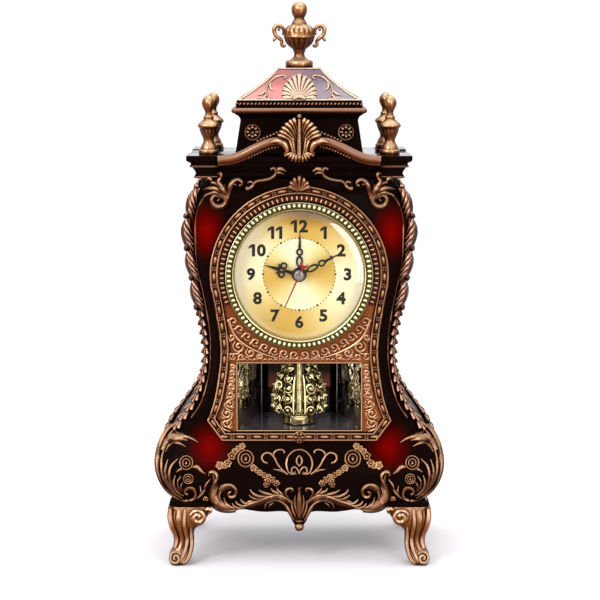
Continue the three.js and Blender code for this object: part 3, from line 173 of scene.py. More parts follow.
def lofted(name, rows):
    # rows of as many points each, skinned in order, both ends closed
    count = len(rows[0])
    points = [p for row in rows for p in row]
    faces = [
        [r * count + i, r * count + (i + 1) % count, (r + 1) * count + (i + 1) % count, (r + 1) * count + i]
        for r in range(len(rows) - 1) for i in range(count)
    ]
    faces += [list(range(count)), list(range(len(points) - count, len(points)))]
    return edited(fromPoints(name, points, faces))


def plateOf(name, outline, front, back, bevel=0, holes=()):
    # a flat outline of x and z with its holes, given a depth
    curve = bpy.data.curves.new(name, "CURVE")
    curve.dimensions = "2D"
    curve.fill_mode = "BOTH"
    curve.extrude = (back - front) / 2 * mm
    for ring in [outline, *holes]:
        spline = curve.splines.new("POLY")
        spline.points.add(len(ring) - 1)
        for knot, (x, z) in zip(spline.points, ring):
            knot.co = (x * mm, z * mm, 0, 1)
        spline.use_cyclic_u = True
    piece = meshFrom(name, curve)
    piece.data.transform(Matrix.Translation((0, (front + back) / 2 * mm, 0))
        @ Matrix.Rotation(pi / 2, 4, "X"))
    edited(piece)
    return softened(piece, bevel) if bevel else piece


def strandsOf(name, strands, roundness=1, steps=3):
    # tapering round strands through points, each with its own radii
    curve = bpy.data.curves.new(name, "CURVE")
    curve.dimensions = "3D"
    curve.bevel_depth = mm
    curve.bevel_resolution = roundness
    curve.resolution_u = steps
    curve.use_fill_caps = True
    for points, radii in strands:
        spline = curve.splines.new("BEZIER")
        spline.radius_interpolation = "CARDINAL"
        spline.bezier_points.add(len(points) - 1)
        for i, (knot, point) in enumerate(zip(spline.bezier_points, points)):
            knot.co = Vector(point) * mm
            knot.radius = spread(radii, i / (len(points) - 1))
            knot.handle_left_type = "AUTO"
            knot.handle_right_type = "AUTO"
    return edited(meshFrom(name, curve))


def spread(values, share):
    # the value a share of the way along a short list
    place = share * (len(values) - 1)
    low = min(int(place), len(values) - 2)
    return blendAt(values[low], values[low + 1], place - low)


def copies(name, shape, places):
    # one small mesh set out at many places, each a matrix in millimetres
    points, faces = [], []
    for place in places:
        base = len(points)
        points += [place @ Vector(p) for p in shape[0]]
        faces += [[base + i for i in face] for face in shape[1]]
    return edited(fromPoints(name, points, faces))


def beadShape(radiusX, radiusY, radiusZ, around=8, high=5):
    mesh = bmesh.new()
    bmesh.ops.create_uvsphere(mesh, u_segments=around, v_segments=high, radius=1)
    points = [(v.co.x * radiusX, v.co.y * radiusY, v.co.z * radiusZ) for v in mesh.verts]
    faces = [[v.index for v in f.verts] for f in mesh.faces]
    mesh.free()
    return points, faces


def faceAt(x, y, z, turn=0, size=1):
    # a place facing forward, turned clockwise
    return Matrix.Translation((x, y, z)) @ Matrix.Rotation(radians(turn), 4, "Y") @ Matrix.Scale(size, 4)


def evenly(line, gap, closed=False):
    # points set a gap apart along a line, each with its direction
    runs = list(zip(line, [*line[1:], line[0]] if closed else line[1:]))
    total = sum(dist(a, b) for a, b in runs)
    count = max(2, round(total / gap))
    wanted = [total * i / (count if closed else count - 1) for i in range(count)]
    found, walked, k = [], 0, 0
    for target in wanted:
        while k < len(runs) - 1 and walked + dist(*runs[k]) < target - 1e-9:
            walked += dist(*runs[k])
            k += 1
        a, b = runs[k]
        step = dist(a, b) or 1
        share = min(1, (target - walked) / step)
        found.append((tuple(blendAt(p, q, share) for p, q in zip(a, b)),
                      tuple((q - p) / step for p, q in zip(a, b))))
    return found


def spiral(x, z, start, end, fromAngle, turns, count=10):
    # a flat volute; degrees run anticlockwise from the right, as seen from the front
    line = []
    for i in range(count + 1):
        share = i / count
        angle = radians(fromAngle + 360 * turns * share)
        line.append(roundAt(x, z, blendAt(start, end, share), angle))
    return line


def roundAt(x, z, radius, angle):
    # the spot at a radius and angle about a centre
    return (x + radius * cos(angle), z + radius * sin(angle))


def spots(text):
    # points, parted by commas
    return [tuple(float(number) for number in row.split()) for row in text.split(",")]


def strokes(*texts):
    # lines with their radii: points, a colon, radii; parted by semicolons
    rows = [stroke.split(":") for text in texts for stroke in text.split(";")]
    return [(spots(line), [float(r) for r in radii.split()]) for line, radii in rows]


def rectangle(left, low, right, high):
    return [(left, low), (right, low), (right, high), (left, high)]


# Materials
def hexColour(code):
    channels = [int(code[i:i + 2], 16) / 255 for i in (1, 3, 5)]
    return (*[c / 12.92 if c <= 0.04045 else ((c + 0.055) / 1.055) ** 2.4 for c in channels], 1)


def put(tree, kind, links=None, inputs=None, stops=(), **settings):
    # adds a node; a link comes from a socket, or from the first one of a node
    node = tree.nodes.new("ShaderNode" + kind)
    for key, value in settings.items():
        setattr(node, key, value)
    for socket, value in (inputs or {}).items():
        node.inputs[socket].default_value = value
    for socket, source in (links or {}).items():
        tree.links.new(getattr(source, "outputs", [source])[0], node.inputs[socket])
    for i, (place, colour) in enumerate(stops):
        ramp = node.color_ramp.elements
        stop = ramp[i] if i < len(ramp) else ramp.new(place)
        stop.position = place
        stop.color = hexColour(colour)
    return node


def blank(name):
    material = bpy.data.materials.new(name)
    material.use_nodes = True
    tree = material.node_tree
    tree.nodes.clear()
    return material, tree, put(tree, "TexCoord").outputs["Object"]


def surfaced(material, links, inputs):
    shader = put(material.node_tree, "BsdfPrincipled", links, inputs)
    put(material.node_tree, "OutputMaterial", {"Surface": shader})
    return material


def perSize(size):
    # how often a pattern of this size in millimetres comes in a metre
    return 1 / (size * mm)


def between(low, high, start=0.0, end=1.0):
    # values from start to end carried over to low and high
    return {"From Min": start, "From Max": end, "To Min": low, "To Max": high}


# how the paint is shaded, lit and worn: painted light by facing, wear and painted highlight along edges, and
# patches
wearAndPaintedLight = {
    "forward": 0.72, "upward": 0.69, "turned": (0.3, 1.0), "paintedFacingLight": (-0.4, 0.14),
    "sharp": (0.44, 0.6), "edge": (-0.14, 0.12), "patch": 0.1, "patchSize": 6,
    "stops": (0.4, 0.66, 0.86, 1.0), "uneven": (-0.07, 0.1), "specular": 0.15, "grainDepth": 0.2,
}


def washedMetal(name, tones, metallic, roughness, reach=4.0, rest=0.0, grain=0.9, bump=0.05):
    # metallic paint over a cast: the hollows darken, partly a real dark wash and partly painted shade;
    # crowns and upper edges lighten as painted highlight, sharp edges also with wear
    material, tree, place = blank(name)
    w = wearAndPaintedLight
    # darker in the hollows: partly a dark wash, partly painted shade
    hollow = put(tree, "AmbientOcclusion", inputs={"Distance": reach * mm}, samples=8)
    shape = put(tree, "NewGeometry")
    normal = put(tree, "SeparateXYZ", {"Vector": shape.outputs["Normal"]})
    flat = put(tree, "Math", {0: normal.outputs["Y"]}, operation="ABSOLUTE")
    front = put(tree, "Math", {0: flat}, {1: w["forward"]}, operation="MULTIPLY")
    facing = put(tree, "Math", {0: normal.outputs["Z"], 2: front}, {1: w["upward"]}, operation="MULTIPLY_ADD")
    # painted light: faces turned up and toward the front or back are lighter
    paintedFacingLight = put(tree, "MapRange", {"Value": facing}, between(*w["paintedFacingLight"], *w["turned"]))
    lift = put(tree, "Math", {0: paintedFacingLight, 1: hollow.outputs["AO"]}, operation="ADD")
    # lighter along sharp edges: partly wear, partly painted highlight
    edge = put(tree, "MapRange", {"Value": shape.outputs["Pointiness"]},
               between(*[value - rest for value in w["edge"]], *w["sharp"]))
    mottle = put(tree, "TexNoise", {"Vector": place}, {"Scale": perSize(w["patchSize"]), "Detail": 3})
    patch = put(tree, "MapRange", {"Value": mottle}, between(-w["patch"], w["patch"]))
    raised = put(tree, "Math", {0: lift, 1: edge}, operation="ADD")
    shade = put(tree, "Math", {0: raised, 1: patch}, operation="ADD", use_clamp=True)
    colour = put(tree, "ValToRGB", {"Fac": shade}, stops=zip(w["stops"], tones.split()))
    fine = put(tree, "TexNoise", {"Vector": place}, {"Scale": perSize(grain), "Detail": 4})
    gloss = put(tree, "MapRange", {"Value": fine}, between(*[roughness + step for step in w["uneven"]]))
    relief = put(tree, "Bump", {"Height": fine}, {"Strength": bump, "Distance": w["grainDepth"] * mm})
    return surfaced(material, {"Base Color": colour, "Roughness": gloss, "Normal": relief},
                    {"Metallic": metallic, "Specular IOR Level": w["specular"]})


lacquerLook = {
    # sprayed spots: x, z, half width, half height
    "glows": ((63.0, 233, 17, 25), (62, 83, 20, 22)),
    "stops": ((0.1, "#760301"), (0.5, "#4a0301"), (0.8, "#1e0603"), (1.0, "#110604")),
    "rippleSize": 5, "roughness": (0.24, 0.36), "peel": 0.06, "peelDepth": 0.3,
    # shine from a spot to the ground, what counts as level, and its finer polish
    "shine": (0.002, 0.012), "shineFrom": (0.3, 1.1), "level": (0.96, 0.995), "polish": (1.0, 0.2),
}


def sprayedLacquer(name):
    # gloss lacquer on moulded resin, near black, with red sprayed in soft spots at both sides
    material, tree, place = blank(name)
    k = lacquerLook
    parts = put(tree, "SeparateXYZ", {"Vector": place})
    aside = put(tree, "Math", {0: parts.outputs["X"]}, operation="ABSOLUTE")
    folded = put(tree, "CombineXYZ", {"X": aside, "Z": parts.outputs["Z"]})
    nearest = None
    for x, z, halfX, halfZ in k["glows"]:
        spot = put(tree, "Mapping", {"Vector": folded},
                   {"Location": (-x / halfX, 0, -z / halfZ), "Scale": (perSize(halfX), 0, perSize(halfZ))})
        away = put(tree, "VectorMath", {0: spot}, operation="LENGTH").outputs["Value"]
        nearest = put(tree, "Math", {0: nearest, 1: away}, operation="MINIMUM") if nearest else away
    colour = put(tree, "ValToRGB", {"Fac": nearest}, stops=k["stops"])
    ripple = put(tree, "TexNoise", {"Vector": place}, {"Scale": perSize(k["rippleSize"]), "Detail": 2})
    gloss = put(tree, "MapRange", {"Value": ripple}, between(*k["roughness"]))
    peel = put(tree, "Bump", {"Height": ripple}, {"Strength": k["peel"], "Distance": k["peelDepth"] * mm})
    # the sprayed spots are duller than the polished ground
    sheen = put(tree, "MapRange", {"Value": nearest}, between(*k["shine"], *k["shineFrom"]))
    # level tops are polished, and mirror the light behind them when seen at a low angle
    facing = put(tree, "SeparateXYZ", {"Vector": put(tree, "NewGeometry").outputs["Normal"]})
    level = put(tree, "MapRange", {"Value": facing.outputs["Z"]}, between(0, 1, *k["level"]))
    polish = put(tree, "Math", {0: sheen, 1: level}, operation="MAXIMUM")
    fine = put(tree, "MapRange", {"Value": level}, between(*k["polish"]))
    grain = put(tree, "Math", {0: gloss, 1: fine}, operation="MULTIPLY")
    return surfaced(material, {"Base Color": colour, "Roughness": grain, "Normal": peel,
                               "Specular IOR Level": polish}, {"IOR": 1.5})


roofGlareLook = {
    "half": 42, "cloudSize": 16, "drift": 0.2, "roughness": (0.12, 0.24),
    "stops": ((0.0, "#d48e84"), (0.3, "#d07876"), (0.5, "#a87a84"), (0.62, "#80707c"), (1.0, "#90848c")),
}


def pearlGlaze(name):
    # lacquer on the hipped roof; its sweep from rose on one flank to a grey lilac on the other is a painted
    # reflection of the light across it
    material, tree, place = blank(name)
    k = roofGlareLook
    parts = put(tree, "SeparateXYZ", {"Vector": place})
    across = put(tree, "MapRange", {"Value": parts.outputs["X"]},
        between(0, 1, -k["half"] * mm, k["half"] * mm))
    cloud = put(tree, "TexNoise", {"Vector": place}, {"Scale": perSize(k["cloudSize"]), "Detail": 2})
    drift = put(tree, "MapRange", {"Value": cloud}, between(-k["drift"], k["drift"]))
    share = put(tree, "Math", {0: across, 1: drift}, operation="ADD", use_clamp=True)
    # painted reflection: rose to grey lilac from one flank to the other
    colour = put(tree, "ValToRGB", {"Fac": share}, stops=k["stops"])
    gloss = put(tree, "MapRange", {"Value": cloud}, between(*k["roughness"]))
    return surfaced(material, {"Base Color": colour, "Roughness": gloss},
                    {"Metallic": 0.25, "Coat Weight": 0.3, "Coat Roughness": 0.08})


dialLook = {
    "centre": 203.3, "ringRadius": 24.9, "fades": 2.0, "outOfStep": (-0.5, 3.4),
    # the cream-to-gold sweep is painted sheen; the brown top band is painted shadow under the bezel
    "rays": 60, "rayDepth": 0.18, "sheenSwing": 1.1, "deepest": 0.7, "bezelShadowSpan": (30, 43), "bezelShadowDepth": 0.34,
    "stops": ((0.07, "#fff3c4"), (0.38, "#efd88c"), (0.7, "#d2a63e"), (1.0, "#7c5412")),
}


def fromCentre(tree, place, height):
    # places measured across the front from a centre at this height
    return put(tree, "Mapping", {"Vector": place}, {"Location": (0, 0, -height * mm), "Scale": (1, 0, 1)})


def printedDial(name):
    # satin card with a sunburst of fine rays, its tone sweeping from cream to gold twice round, the inner
    # disc out of step
    # with the rim: that sweep is a painted sheen, and the browner top is a painted shadow under the bezel
    material, tree, place = blank(name)
    k = dialLook
    moved = fromCentre(tree, place, k["centre"])
    parts = put(tree, "SeparateXYZ", {"Vector": moved})
    away = put(tree, "VectorMath", {0: moved}, operation="LENGTH")
    angle = put(tree, "Math", {0: parts.outputs["X"], 1: parts.outputs["Z"]}, operation="ARCTAN2")
    inner = put(tree, "Math", {0: away.outputs["Value"]}, {1: k["ringRadius"] * mm}, operation="LESS_THAN")
    step = put(tree, "MapRange", {"Value": inner}, between(*k["outOfStep"]))
    wave = put(tree, "Math", {0: angle, 2: step}, {1: k["fades"]}, operation="MULTIPLY_ADD")
    # painted sheen: the tone sweeps twice round
    sheenSwing = put(tree, "Math", {0: wave}, operation="COSINE")
    rays = put(tree, "TexNoise", {"W": angle}, {"Scale": k["rays"], "Detail": 2}, noise_dimensions="1D")
    lift = put(tree, "MapRange", {"Value": rays}, between(-k["rayDepth"], k["rayDepth"]))
    tone = put(tree, "Math", {0: sheenSwing, 1: lift}, operation="ADD")
    share = put(tree, "MapRange", {"Value": tone}, between(0, k["deepest"], -k["sheenSwing"], k["sheenSwing"]))
    # painted shadow of the bezel: browner toward the top
    under = put(tree, "MapRange", {"Value": parts.outputs["Z"]},
                between(0, k["bezelShadowDepth"], *[height * mm for height in k["bezelShadowSpan"]]))
    deep = put(tree, "Math", {0: share, 1: under}, operation="ADD")
    colour = put(tree, "ValToRGB", {"Fac": deep}, stops=k["stops"])
    return surfaced(material, {"Base Color": colour}, {"Roughness": 0.5, "Specular IOR Level": 0.3})


def clearPane(name, shine, rimShine, centre=0, flat=1, edge=2):
    # thin clear sheet: what lies behind shows straight through, with a faint sharp reflection
    # that grows on a steep rim
    material, tree, place = blank(name)
    away = put(tree, "VectorMath", {0: fromCentre(tree, place, centre)}, operation="LENGTH")
    share = put(tree, "MapRange", {"Value": away.outputs["Value"]},
        between(shine, rimShine, flat * mm, edge * mm))
    through = put(tree, "BsdfTransparent", inputs={"Color": (1, 1, 1, 1)})
    mirrored = put(tree, "BsdfGlossy", inputs={"Color": (1, 1, 1, 1), "Roughness": 0.02})
    both = put(tree, "MixShader", {0: share, 1: through, 2: mirrored})
    put(tree, "OutputMaterial", {"Surface": both})
    return material


def tintedMirror(name, tints, wave, lift, lean=0, low=94, high=142):
    # mirror foil on card: sharp reflections broken by slight waves and leant toward the front,
    # under a tint that changes with height; on the back pane that tint is a painted reflection
    material, tree, place = blank(name)
    parts = put(tree, "SeparateXYZ", {"Vector": place})
    share = put(tree, "MapRange", {"Value": parts.outputs["Z"]}, between(0, 1, low * mm, high * mm))
    colour = put(tree, "ValToRGB", {"Fac": share}, stops=tints)
    ripple = put(tree, "TexNoise", {"Vector": place}, {"Scale": perSize(wave), "Detail": 1})
    slope = put(tree, "Math", {0: parts.outputs["Y"]}, {1: lean}, operation="MULTIPLY")
    height = put(tree, "Math", {0: ripple, 2: slope}, {1: lift * mm}, operation="MULTIPLY_ADD")
    relief = put(tree, "Bump", {"Height": height}, {"Strength": 1, "Distance": 1})
    return surfaced(material, {"Base Color": colour, "Normal": relief}, {"Metallic": 1, "Roughness": 0.06})


# how evenly a plain finish comes out
making = {"cloud": 8, "stops": (0.3, 0.7), "uneven": 0.08, "glossiest": 0.02, "grainDepth": 0.1}


def plainFinish(name, tones, metallic, roughness, grain, bump, specular=0.5):
    # one colour with the slight cloud, uneven gloss and grain of the process that made it
    material, tree, place = blank(name)
    m = making
    cloud = put(tree, "TexNoise", {"Vector": place}, {"Scale": perSize(grain * m["cloud"]), "Detail": 3})
    colour = put(tree, "ValToRGB", {"Fac": cloud}, stops=zip(m["stops"], tones.split()))
    fine = put(tree, "TexNoise", {"Vector": place}, {"Scale": perSize(grain), "Detail": 2})
    gloss = put(tree, "MapRange", {"Value": fine},
                between(max(m["glossiest"], roughness - m["uneven"]), roughness + m["uneven"]))
    relief = put(tree, "Bump", {"Height": fine}, {"Strength": bump, "Distance": m["grainDepth"] * mm})
    return surfaced(material, {"Base Color": colour, "Roughness": gloss, "Normal": relief},
                    {"Metallic": metallic, "Specular IOR Level": specular})


lacquer = sprayedLacquer("sprayed_lacquer")
roofGlaze = pearlGlaze("roof_lacquer_painted_glare")
dialCard = printedDial("dial_card_painted_light")
# Painted bronze, each tone list running from painted shade to painted highlight: scrolls brown with dull
# crowns, flowers lighter
bronze = washedMetal("bronze_paint", "#140602 #4c2410 #744628 #b48c6c", 0.55, 0.3, reach=3.0, rest=0.06)
flowerBronze = washedMetal("flower_bronze_paint", "#200a04 #5c2f14 #84522e #c0906a", 0.55, 0.32, reach=1.0,
    rest=0.03)
# turned pieces with bright painted highlights, feet pale at the knee with wear and painted highlight,
# garlands dark with painted highlights on the ridges
turnedBronze = washedMetal("turned_bronze_paint", "#280f06 #683818 #945e34 #dcb48c", 0.55, 0.26, rest=0.04)
footBronze = washedMetal("foot_bronze_paint", "#341206 #683512 #885228 #cea484", 0.55, 0.26, reach=2.6,
    rest=0.02)
garlandBronze = washedMetal("garland_bronze_paint", "#160602 #42200f #6c402a #cc9e84", 0.55, 0.28, reach=3.0,
    rest=0.09)
# rails an even brown with little painted highlight; roof trim pale against the glaze
railBronze = washedMetal("rail_bronze_paint", "#1c0803 #5c2a10 #724426 #9c7660", 0.55, 0.28, rest=0.02)
shellBronze = washedMetal("pale_bronze_paint", "#5c3a2a #9a6e50 #c49c7c #ead0b8", 0.5, 0.34, reach=2.0,
    rest=0.04)
# Copper paint, tones from painted shade to painted highlight: filigree brighter than its dull ground, band
# darker on a burnt ground
copper = washedMetal("copper_paint", "#2a0e04 #703a1a #945a32 #d0a07a", 0.5, 0.32, reach=2.0, rest=0.02)
bandTrim = washedMetal("antique_copper_trim", "#1e0a04 #5a2e16 #80492a #ba8a64", 0.5, 0.32, reach=2.0,
    rest=0.04)
copperGround = washedMetal("antique_copper_ground", "#301004 #52240c #713612 #80421a", 0.5, 0.4, reach=2.2)
bandGround = washedMetal("burnt_copper_ground", "#100503 #220d06 #36170a #46210f", 0.5, 0.4, reach=2.0)
# Plating, tones from painted shade to painted highlight: bezel a soft pale yellow, carousel bright and sharp
paleGold = washedMetal("pale_gold_plating", "#463b1a #75683c #a4955f #ece0b2", 0.7, 0.24, reach=1.8,
    rest=-0.02)
gilt = washedMetal("gilt_plating", "#2c2308 #7c6a34 #a89660 #dccf9c", 1.0, 0.1, reach=1.2, rest=-0.2,
    bump=0.02)
# An unseen window pane, a lens that shines at its rim, foil bright aside, and behind it dark foil tinted with
# a painted reflection
glass = clearPane("clear_window_glass", 0, 0)
lensGlass = clearPane("clear_lens_glass", 0.006, 0.055, dialLook["centre"], 38.5, 42)
sideMirror = tintedMirror("silvered_mirror_foil", ((0, "#d8d0c8"), (1, "#d8d0bc")), 10, 0.9, 0.38)
# painted reflection on the back pane: lilac grey low, red brown in the middle, near black above
backReflectionTints = ((0.1, "#5c545c"), (0.24, "#54484c"), (0.34, "#522c22"), (0.5, "#40231a"), (0.64, "#1c1613"),
    (1, "#14100e"))
backMirror = tintedMirror("mirror_foil_painted_reflection", backReflectionTints, 12, 0.05)
# Acrylic smooth and deep, enamel a quiet satin, ink dull, a burnished cap
polishedBlack = plainFinish("polished_black_acrylic", "#0f0d0e #171415", 0.0, 0.08, 4, 0.01, 0.6)
smokedFloor = plainFinish("smoked_grey_acrylic", "#4c464b #575056", 0.0, 0.1, 4, 0.01, 0.4)
handBlack = plainFinish("black_enamelled_steel", "#0b0908 #130f0d", 0.0, 0.4, 0.6, 0.04, 0.15)
handRed = plainFinish("red_enamelled_steel", "#8c1616 #a51f1c", 0.0, 0.4, 0.6, 0.04, 0.15)
numberInk = plainFinish("black_printing_ink", "#17130d #241d14", 0.0, 0.7, 0.5, 0.02, 0.2)
capSteel = plainFinish("burnished_cap_steel", "#6d625c #857973", 0.9, 0.3, 0.8, 0.03)
# The works: grained black, waxy white, bright turned and plated metal, wound wire
blackPlastic = plainFinish("moulded_black_abs", "#161617 #202022", 0.0, 0.5, 0.5, 0.12, 0.4)
whitePlastic = plainFinish("moulded_white_acetal", "#dcdad1 #ebe9e1", 0.0, 0.45, 0.6, 0.06)
brass = plainFinish("turned_brass", "#b0903f #cbab5a", 1.0, 0.3, 0.4, 0.05)
steel = plainFinish("plated_steel", "#a6a8ab #bfc1c4", 1.0, 0.3, 0.5, 0.04)
copperWire = plainFinish("enamelled_copper_wire", "#a2552a #c07038", 0.8, 0.35, 0.3, 0.2)
circuitGreen = plainFinish("solder_mask_board", "#235c30 #317541", 0.0, 0.4, 1.0, 0.05)
print("materials:", len(bpy.data.materials))


# Case: a waisted body with a swelling base, its corners cut back behind the garlands
case = {
    "profile": ((86, 42), (96, 57), (98, 72), (86.1, 94.8), (71.6, 117.6), (65, 148), (70.75, 190),
        (76.5, 232), (72.9, 252.4), (67.5, 265.3), (67.5, 269)),
    "front": -46, "back": 46, "bulge": 9, "bellyTop": 95, "belly": 63, "bottom": 42,
    "corner": 9, "rearCorner": 1.5, "wall": 3, "tuck": 0.4, "edge": 0.5,
    # finer steps on the belly; top of the hollow, depth of the cuts
    "bellySteps": 4, "fineBelow": 96, "hollowTop": 266, "cut": (-70, -30), "clear": 10,
    "dialHeight": dialLook["centre"], "dialOpening": 46.5, "window": (-43.2, 94.2, 43.2, 142.2),
    # the middle of a cut corner, in shares across and back
    "cutCorner": (0.45, 0.42), "innerCorner": 0.6, "squareCorner": 0.1,
}
caseLine = smoothLine(case["profile"], 8)


def halfWidthAt(z):
    if z <= caseLine[0][1]:
        return caseLine[0][0]
    for (a, low), (b, high) in zip(caseLine, caseLine[1:]):
        if low <= z <= high:
            return blendAt(a, b, (z - low) / (high - low or 1))
    return caseLine[-1][0]


def frontAt(z):
    # flat above the belly, swelling forward below it and tucked in again at the bottom
    share = min(1, max(0, (case["bellyTop"] - z) / (case["bellyTop"] - case["belly"])))
    tuck = max(0, (case["belly"] - z) / (case["belly"] - case["bottom"]))
    return case["front"] - case["bulge"] * (share * share * (3 - 2 * share) - case["tuck"] * tuck * tuck)


def skinAt(x, z):
    # depth of the case's surface, following the cut corner
    return frontAt(z) + max(0, abs(x) - (halfWidthAt(z) - case["corner"]))


def caseRow(z, inset=0, rear=0):
    half = halfWidthAt(z) - inset
    near = case["corner"] - inset * case["innerCorner"]
    far = case["squareCorner"] if rear else case["rearCorner"]
    front = frontAt(z) + inset
    back = case["back"] + rear
    across, deep = case["cutCorner"]
    right = [(half - near, front), (half - near * across, front + near * deep), (half, front + near),
             (half, back - far), (half - far, back)]
    ring = right + [(-x, y) for x, y in reversed(right)]
    return [(x, y, z) for x, y in ring]


def makeCase():
    c = case
    levels = []
    for (_, low), (_, high) in zip(caseLine, caseLine[1:]):
        steps = c["bellySteps"] if low < c["fineBelow"] else 1
        levels += [blendAt(low, high, i / steps) for i in range(steps)]
    levels.append(caseLine[-1][1])
    body = lofted("case_body", [caseRow(z) for z in levels])
    inner = [caseRow(z, c["wall"], c["clear"]) for z in levels if z < c["hollowTop"]]
    low = [(x, y, c["bottom"] - c["clear"]) for x, y, _ in inner[0]]
    top = [(x, y, c["hollowTop"]) for x, y, _ in inner[-1]]
    cutBy(body, lofted("hollow", [low, *inner, top]))
    front, back = c["cut"]
    disc = [(0, front), (c["dialOpening"], front), (c["dialOpening"], back), (0, back)]
    cutBy(body, spun("dial_cut", disc, z=c["dialHeight"], axis="Y", steps=96))
    cutBy(body, plateOf("window_cut", rectangle(*c["window"]), front, back))
    edited(body)
    softened(body, c["edge"], 2, 50)
    finished(body, lacquer, "lacquer", "case_shell")


makeCase()
print("case body made")


# Platform and pediment over the case
platform = {
    "bottom": 269, "top": 284.5, "halfWidth": 76.2, "halfDepth": 48, "cove": 6,
    "rows": ((0, 1), (0.06, 0.9), (0.14, 0.84), (0.24, 0.95), (0.34, 0.84), (0.48, 0.6), (0.58, 0.44),
        (0.62, 0.4), (0.7, 0.4), (0.74, 0.12), (0.78, 0.0), (0.97, 0.0), (1.0, 0.04)),
    "lines": ((0.07, 0.82), (0.55, 0.38)), "lineRadius": 0.75,
    "board": (-48, -39), "boardFoot": 262, "boardEdge": 0.5,
    # corner blocks: inner side, then how far they pass the slab
    "blockInner": 55, "blockProud": 1.6, "blockOut": 0.4, "blockLow": 0.8, "blockRise": 0.5,
    "blockDeep": 30, "blockEdge": 0.6,
}
rail = {
    "line": spots("""55 282.3, 47.5 282.9, 39.2 285.4, 32 289, 24.7 292.4, 18.5 294.4, 13.4 294.4,
        9.6 292.4, 7.8 289.2, 8.6 286.6, 10.2 287.6"""),
    "front": -50.0, "radii": (2.9, 3.1, 3.2, 3.2, 3.0, 2.2, 1.2),
    # the thinner step under the rail: radius, drop, number of points
    "step": (1.5, 2.7, 7), "offset": 0.6,
    "beadRows": ((((34, 283.9), (26.8, 287.2), (20.6, 289.8), (14.4, 291.2)), 0.95, 2.0),
                 (((28, 294.9), (22.6, 297.3), (18.5, 298.9), (15, 300.4)), 0.95, 2.1)),
}


def boxRow(halfX, halfY, z, corner=1.2):
    # a level rectangle with small cut corners
    right = [(halfX - corner, -halfY), (halfX, -halfY + corner), (halfX, halfY - corner),
        (halfX - corner, halfY)]
    return [(x, y, z) for x, y in right + [(-x, y) for x, y in reversed(right)]]


def moulded(name, rows, bevel=0.35):
    return softened(lofted(name, [boxRow(*row) for row in rows]), bevel, 2, 20)


def makePlatform():
    p = platform
    rise = p["top"] - p["bottom"]
    rows = [(p["halfWidth"] - i * p["cove"], p["halfDepth"] - i * p["cove"], p["bottom"] + up * rise)
            for up, i in p["rows"]]
    slab = moulded("platform_slab", rows)
    railTop = smoothLine(rail["line"], 4)
    outline = railTop + [(-x, z) for x, z in reversed(railTop)]
    foot = p["boardFoot"]
    board = plateOf("pediment_board", [(p["blockInner"], foot), *outline, (-p["blockInner"], foot)],
                    *p["board"], p["boardEdge"])
    blocks = []
    for sideX in (-1, 1):
        for sideY in (-1, 1):
            inner, outer = p["blockInner"] * sideX, (p["halfWidth"] + p["blockOut"]) * sideX
            low, high = p["bottom"] + p["blockLow"] * rise, p["top"] + p["blockRise"]
            face = (p["halfDepth"] + p["blockProud"]) * sideY
            ends = sorted((face, face - p["blockDeep"] * sideY))
            blocks.append(plateOf("corner_block", rectangle(inner, low, outer, high), *ends, p["blockEdge"]))
    piece = joined("top_platform_mouldings", slab, board, *blocks)
    finished(piece, lacquer, "lacquer", "top_platform", angle=30)


def makePlatformLines():
    # the lines run round the sides and back, and stop at the pediment board in front
    p = platform
    strands = []
    for up, inset in p["lines"]:
        z = blendAt(p["bottom"], p["top"], up)
        halfX, halfY = p["halfWidth"] - inset * p["cove"], p["halfDepth"] - inset * p["cove"]
        ring = boxRow(halfX, halfY, z)
        path = [(p["blockInner"], -halfY, z), *ring[:4], (0, halfY, z)]
        strands += [(pair, [p["lineRadius"]] * 2) for pair in zip(path, path[1:])]
    piece = mirroredX(strandsOf("platform_bronze_lines", strands, 1, 2))
    finished(piece, railBronze, "bronze_paint")


def ringStrands(ring, radius):
    # a closed line as short straight strands, so that mitred corners stay sharp
    return [(pair, [radius, radius]) for pair in zip(ring, [*ring[1:], ring[0]])]


def besideLine(line, gap):
    # the same line moved sideways, to the left of its run
    moved = []
    for i, (x, z) in enumerate(line):
        (ax, az), (bx, bz) = line[max(0, i - 1)], line[min(len(line) - 1, i + 1)]
        long = hypot(bx - ax, bz - az) or 1
        moved.append((x - (bz - az) / long * gap, z + (bx - ax) / long * gap))
    return moved


def makeRail():
    r = rail
    rear = [(x, r["front"], z) for x, z in r["line"]]
    radius, drop, count = r["step"]
    under = [(x, r["front"] + r["offset"], z) for x, z in besideLine(r["line"][:count], drop)]
    swan = strandsOf("swan_neck", [(rear, r["radii"]), (under, [radius, radius])], 3, 5)
    rows = []
    for points, size, gap in r["beadRows"]:
        places = [faceAt(x, r["front"] - r["offset"], z) for (x, z), _ in evenly(smoothLine(points, 4), gap)]
        rows.append(copies("rail_beads", beadShape(size, size, size), places))
    piece = mirroredX(joined("swan_neck_rail", swan, *rows))
    finished(piece, railBronze, "bronze_paint", "pediment_rail", angle=60)


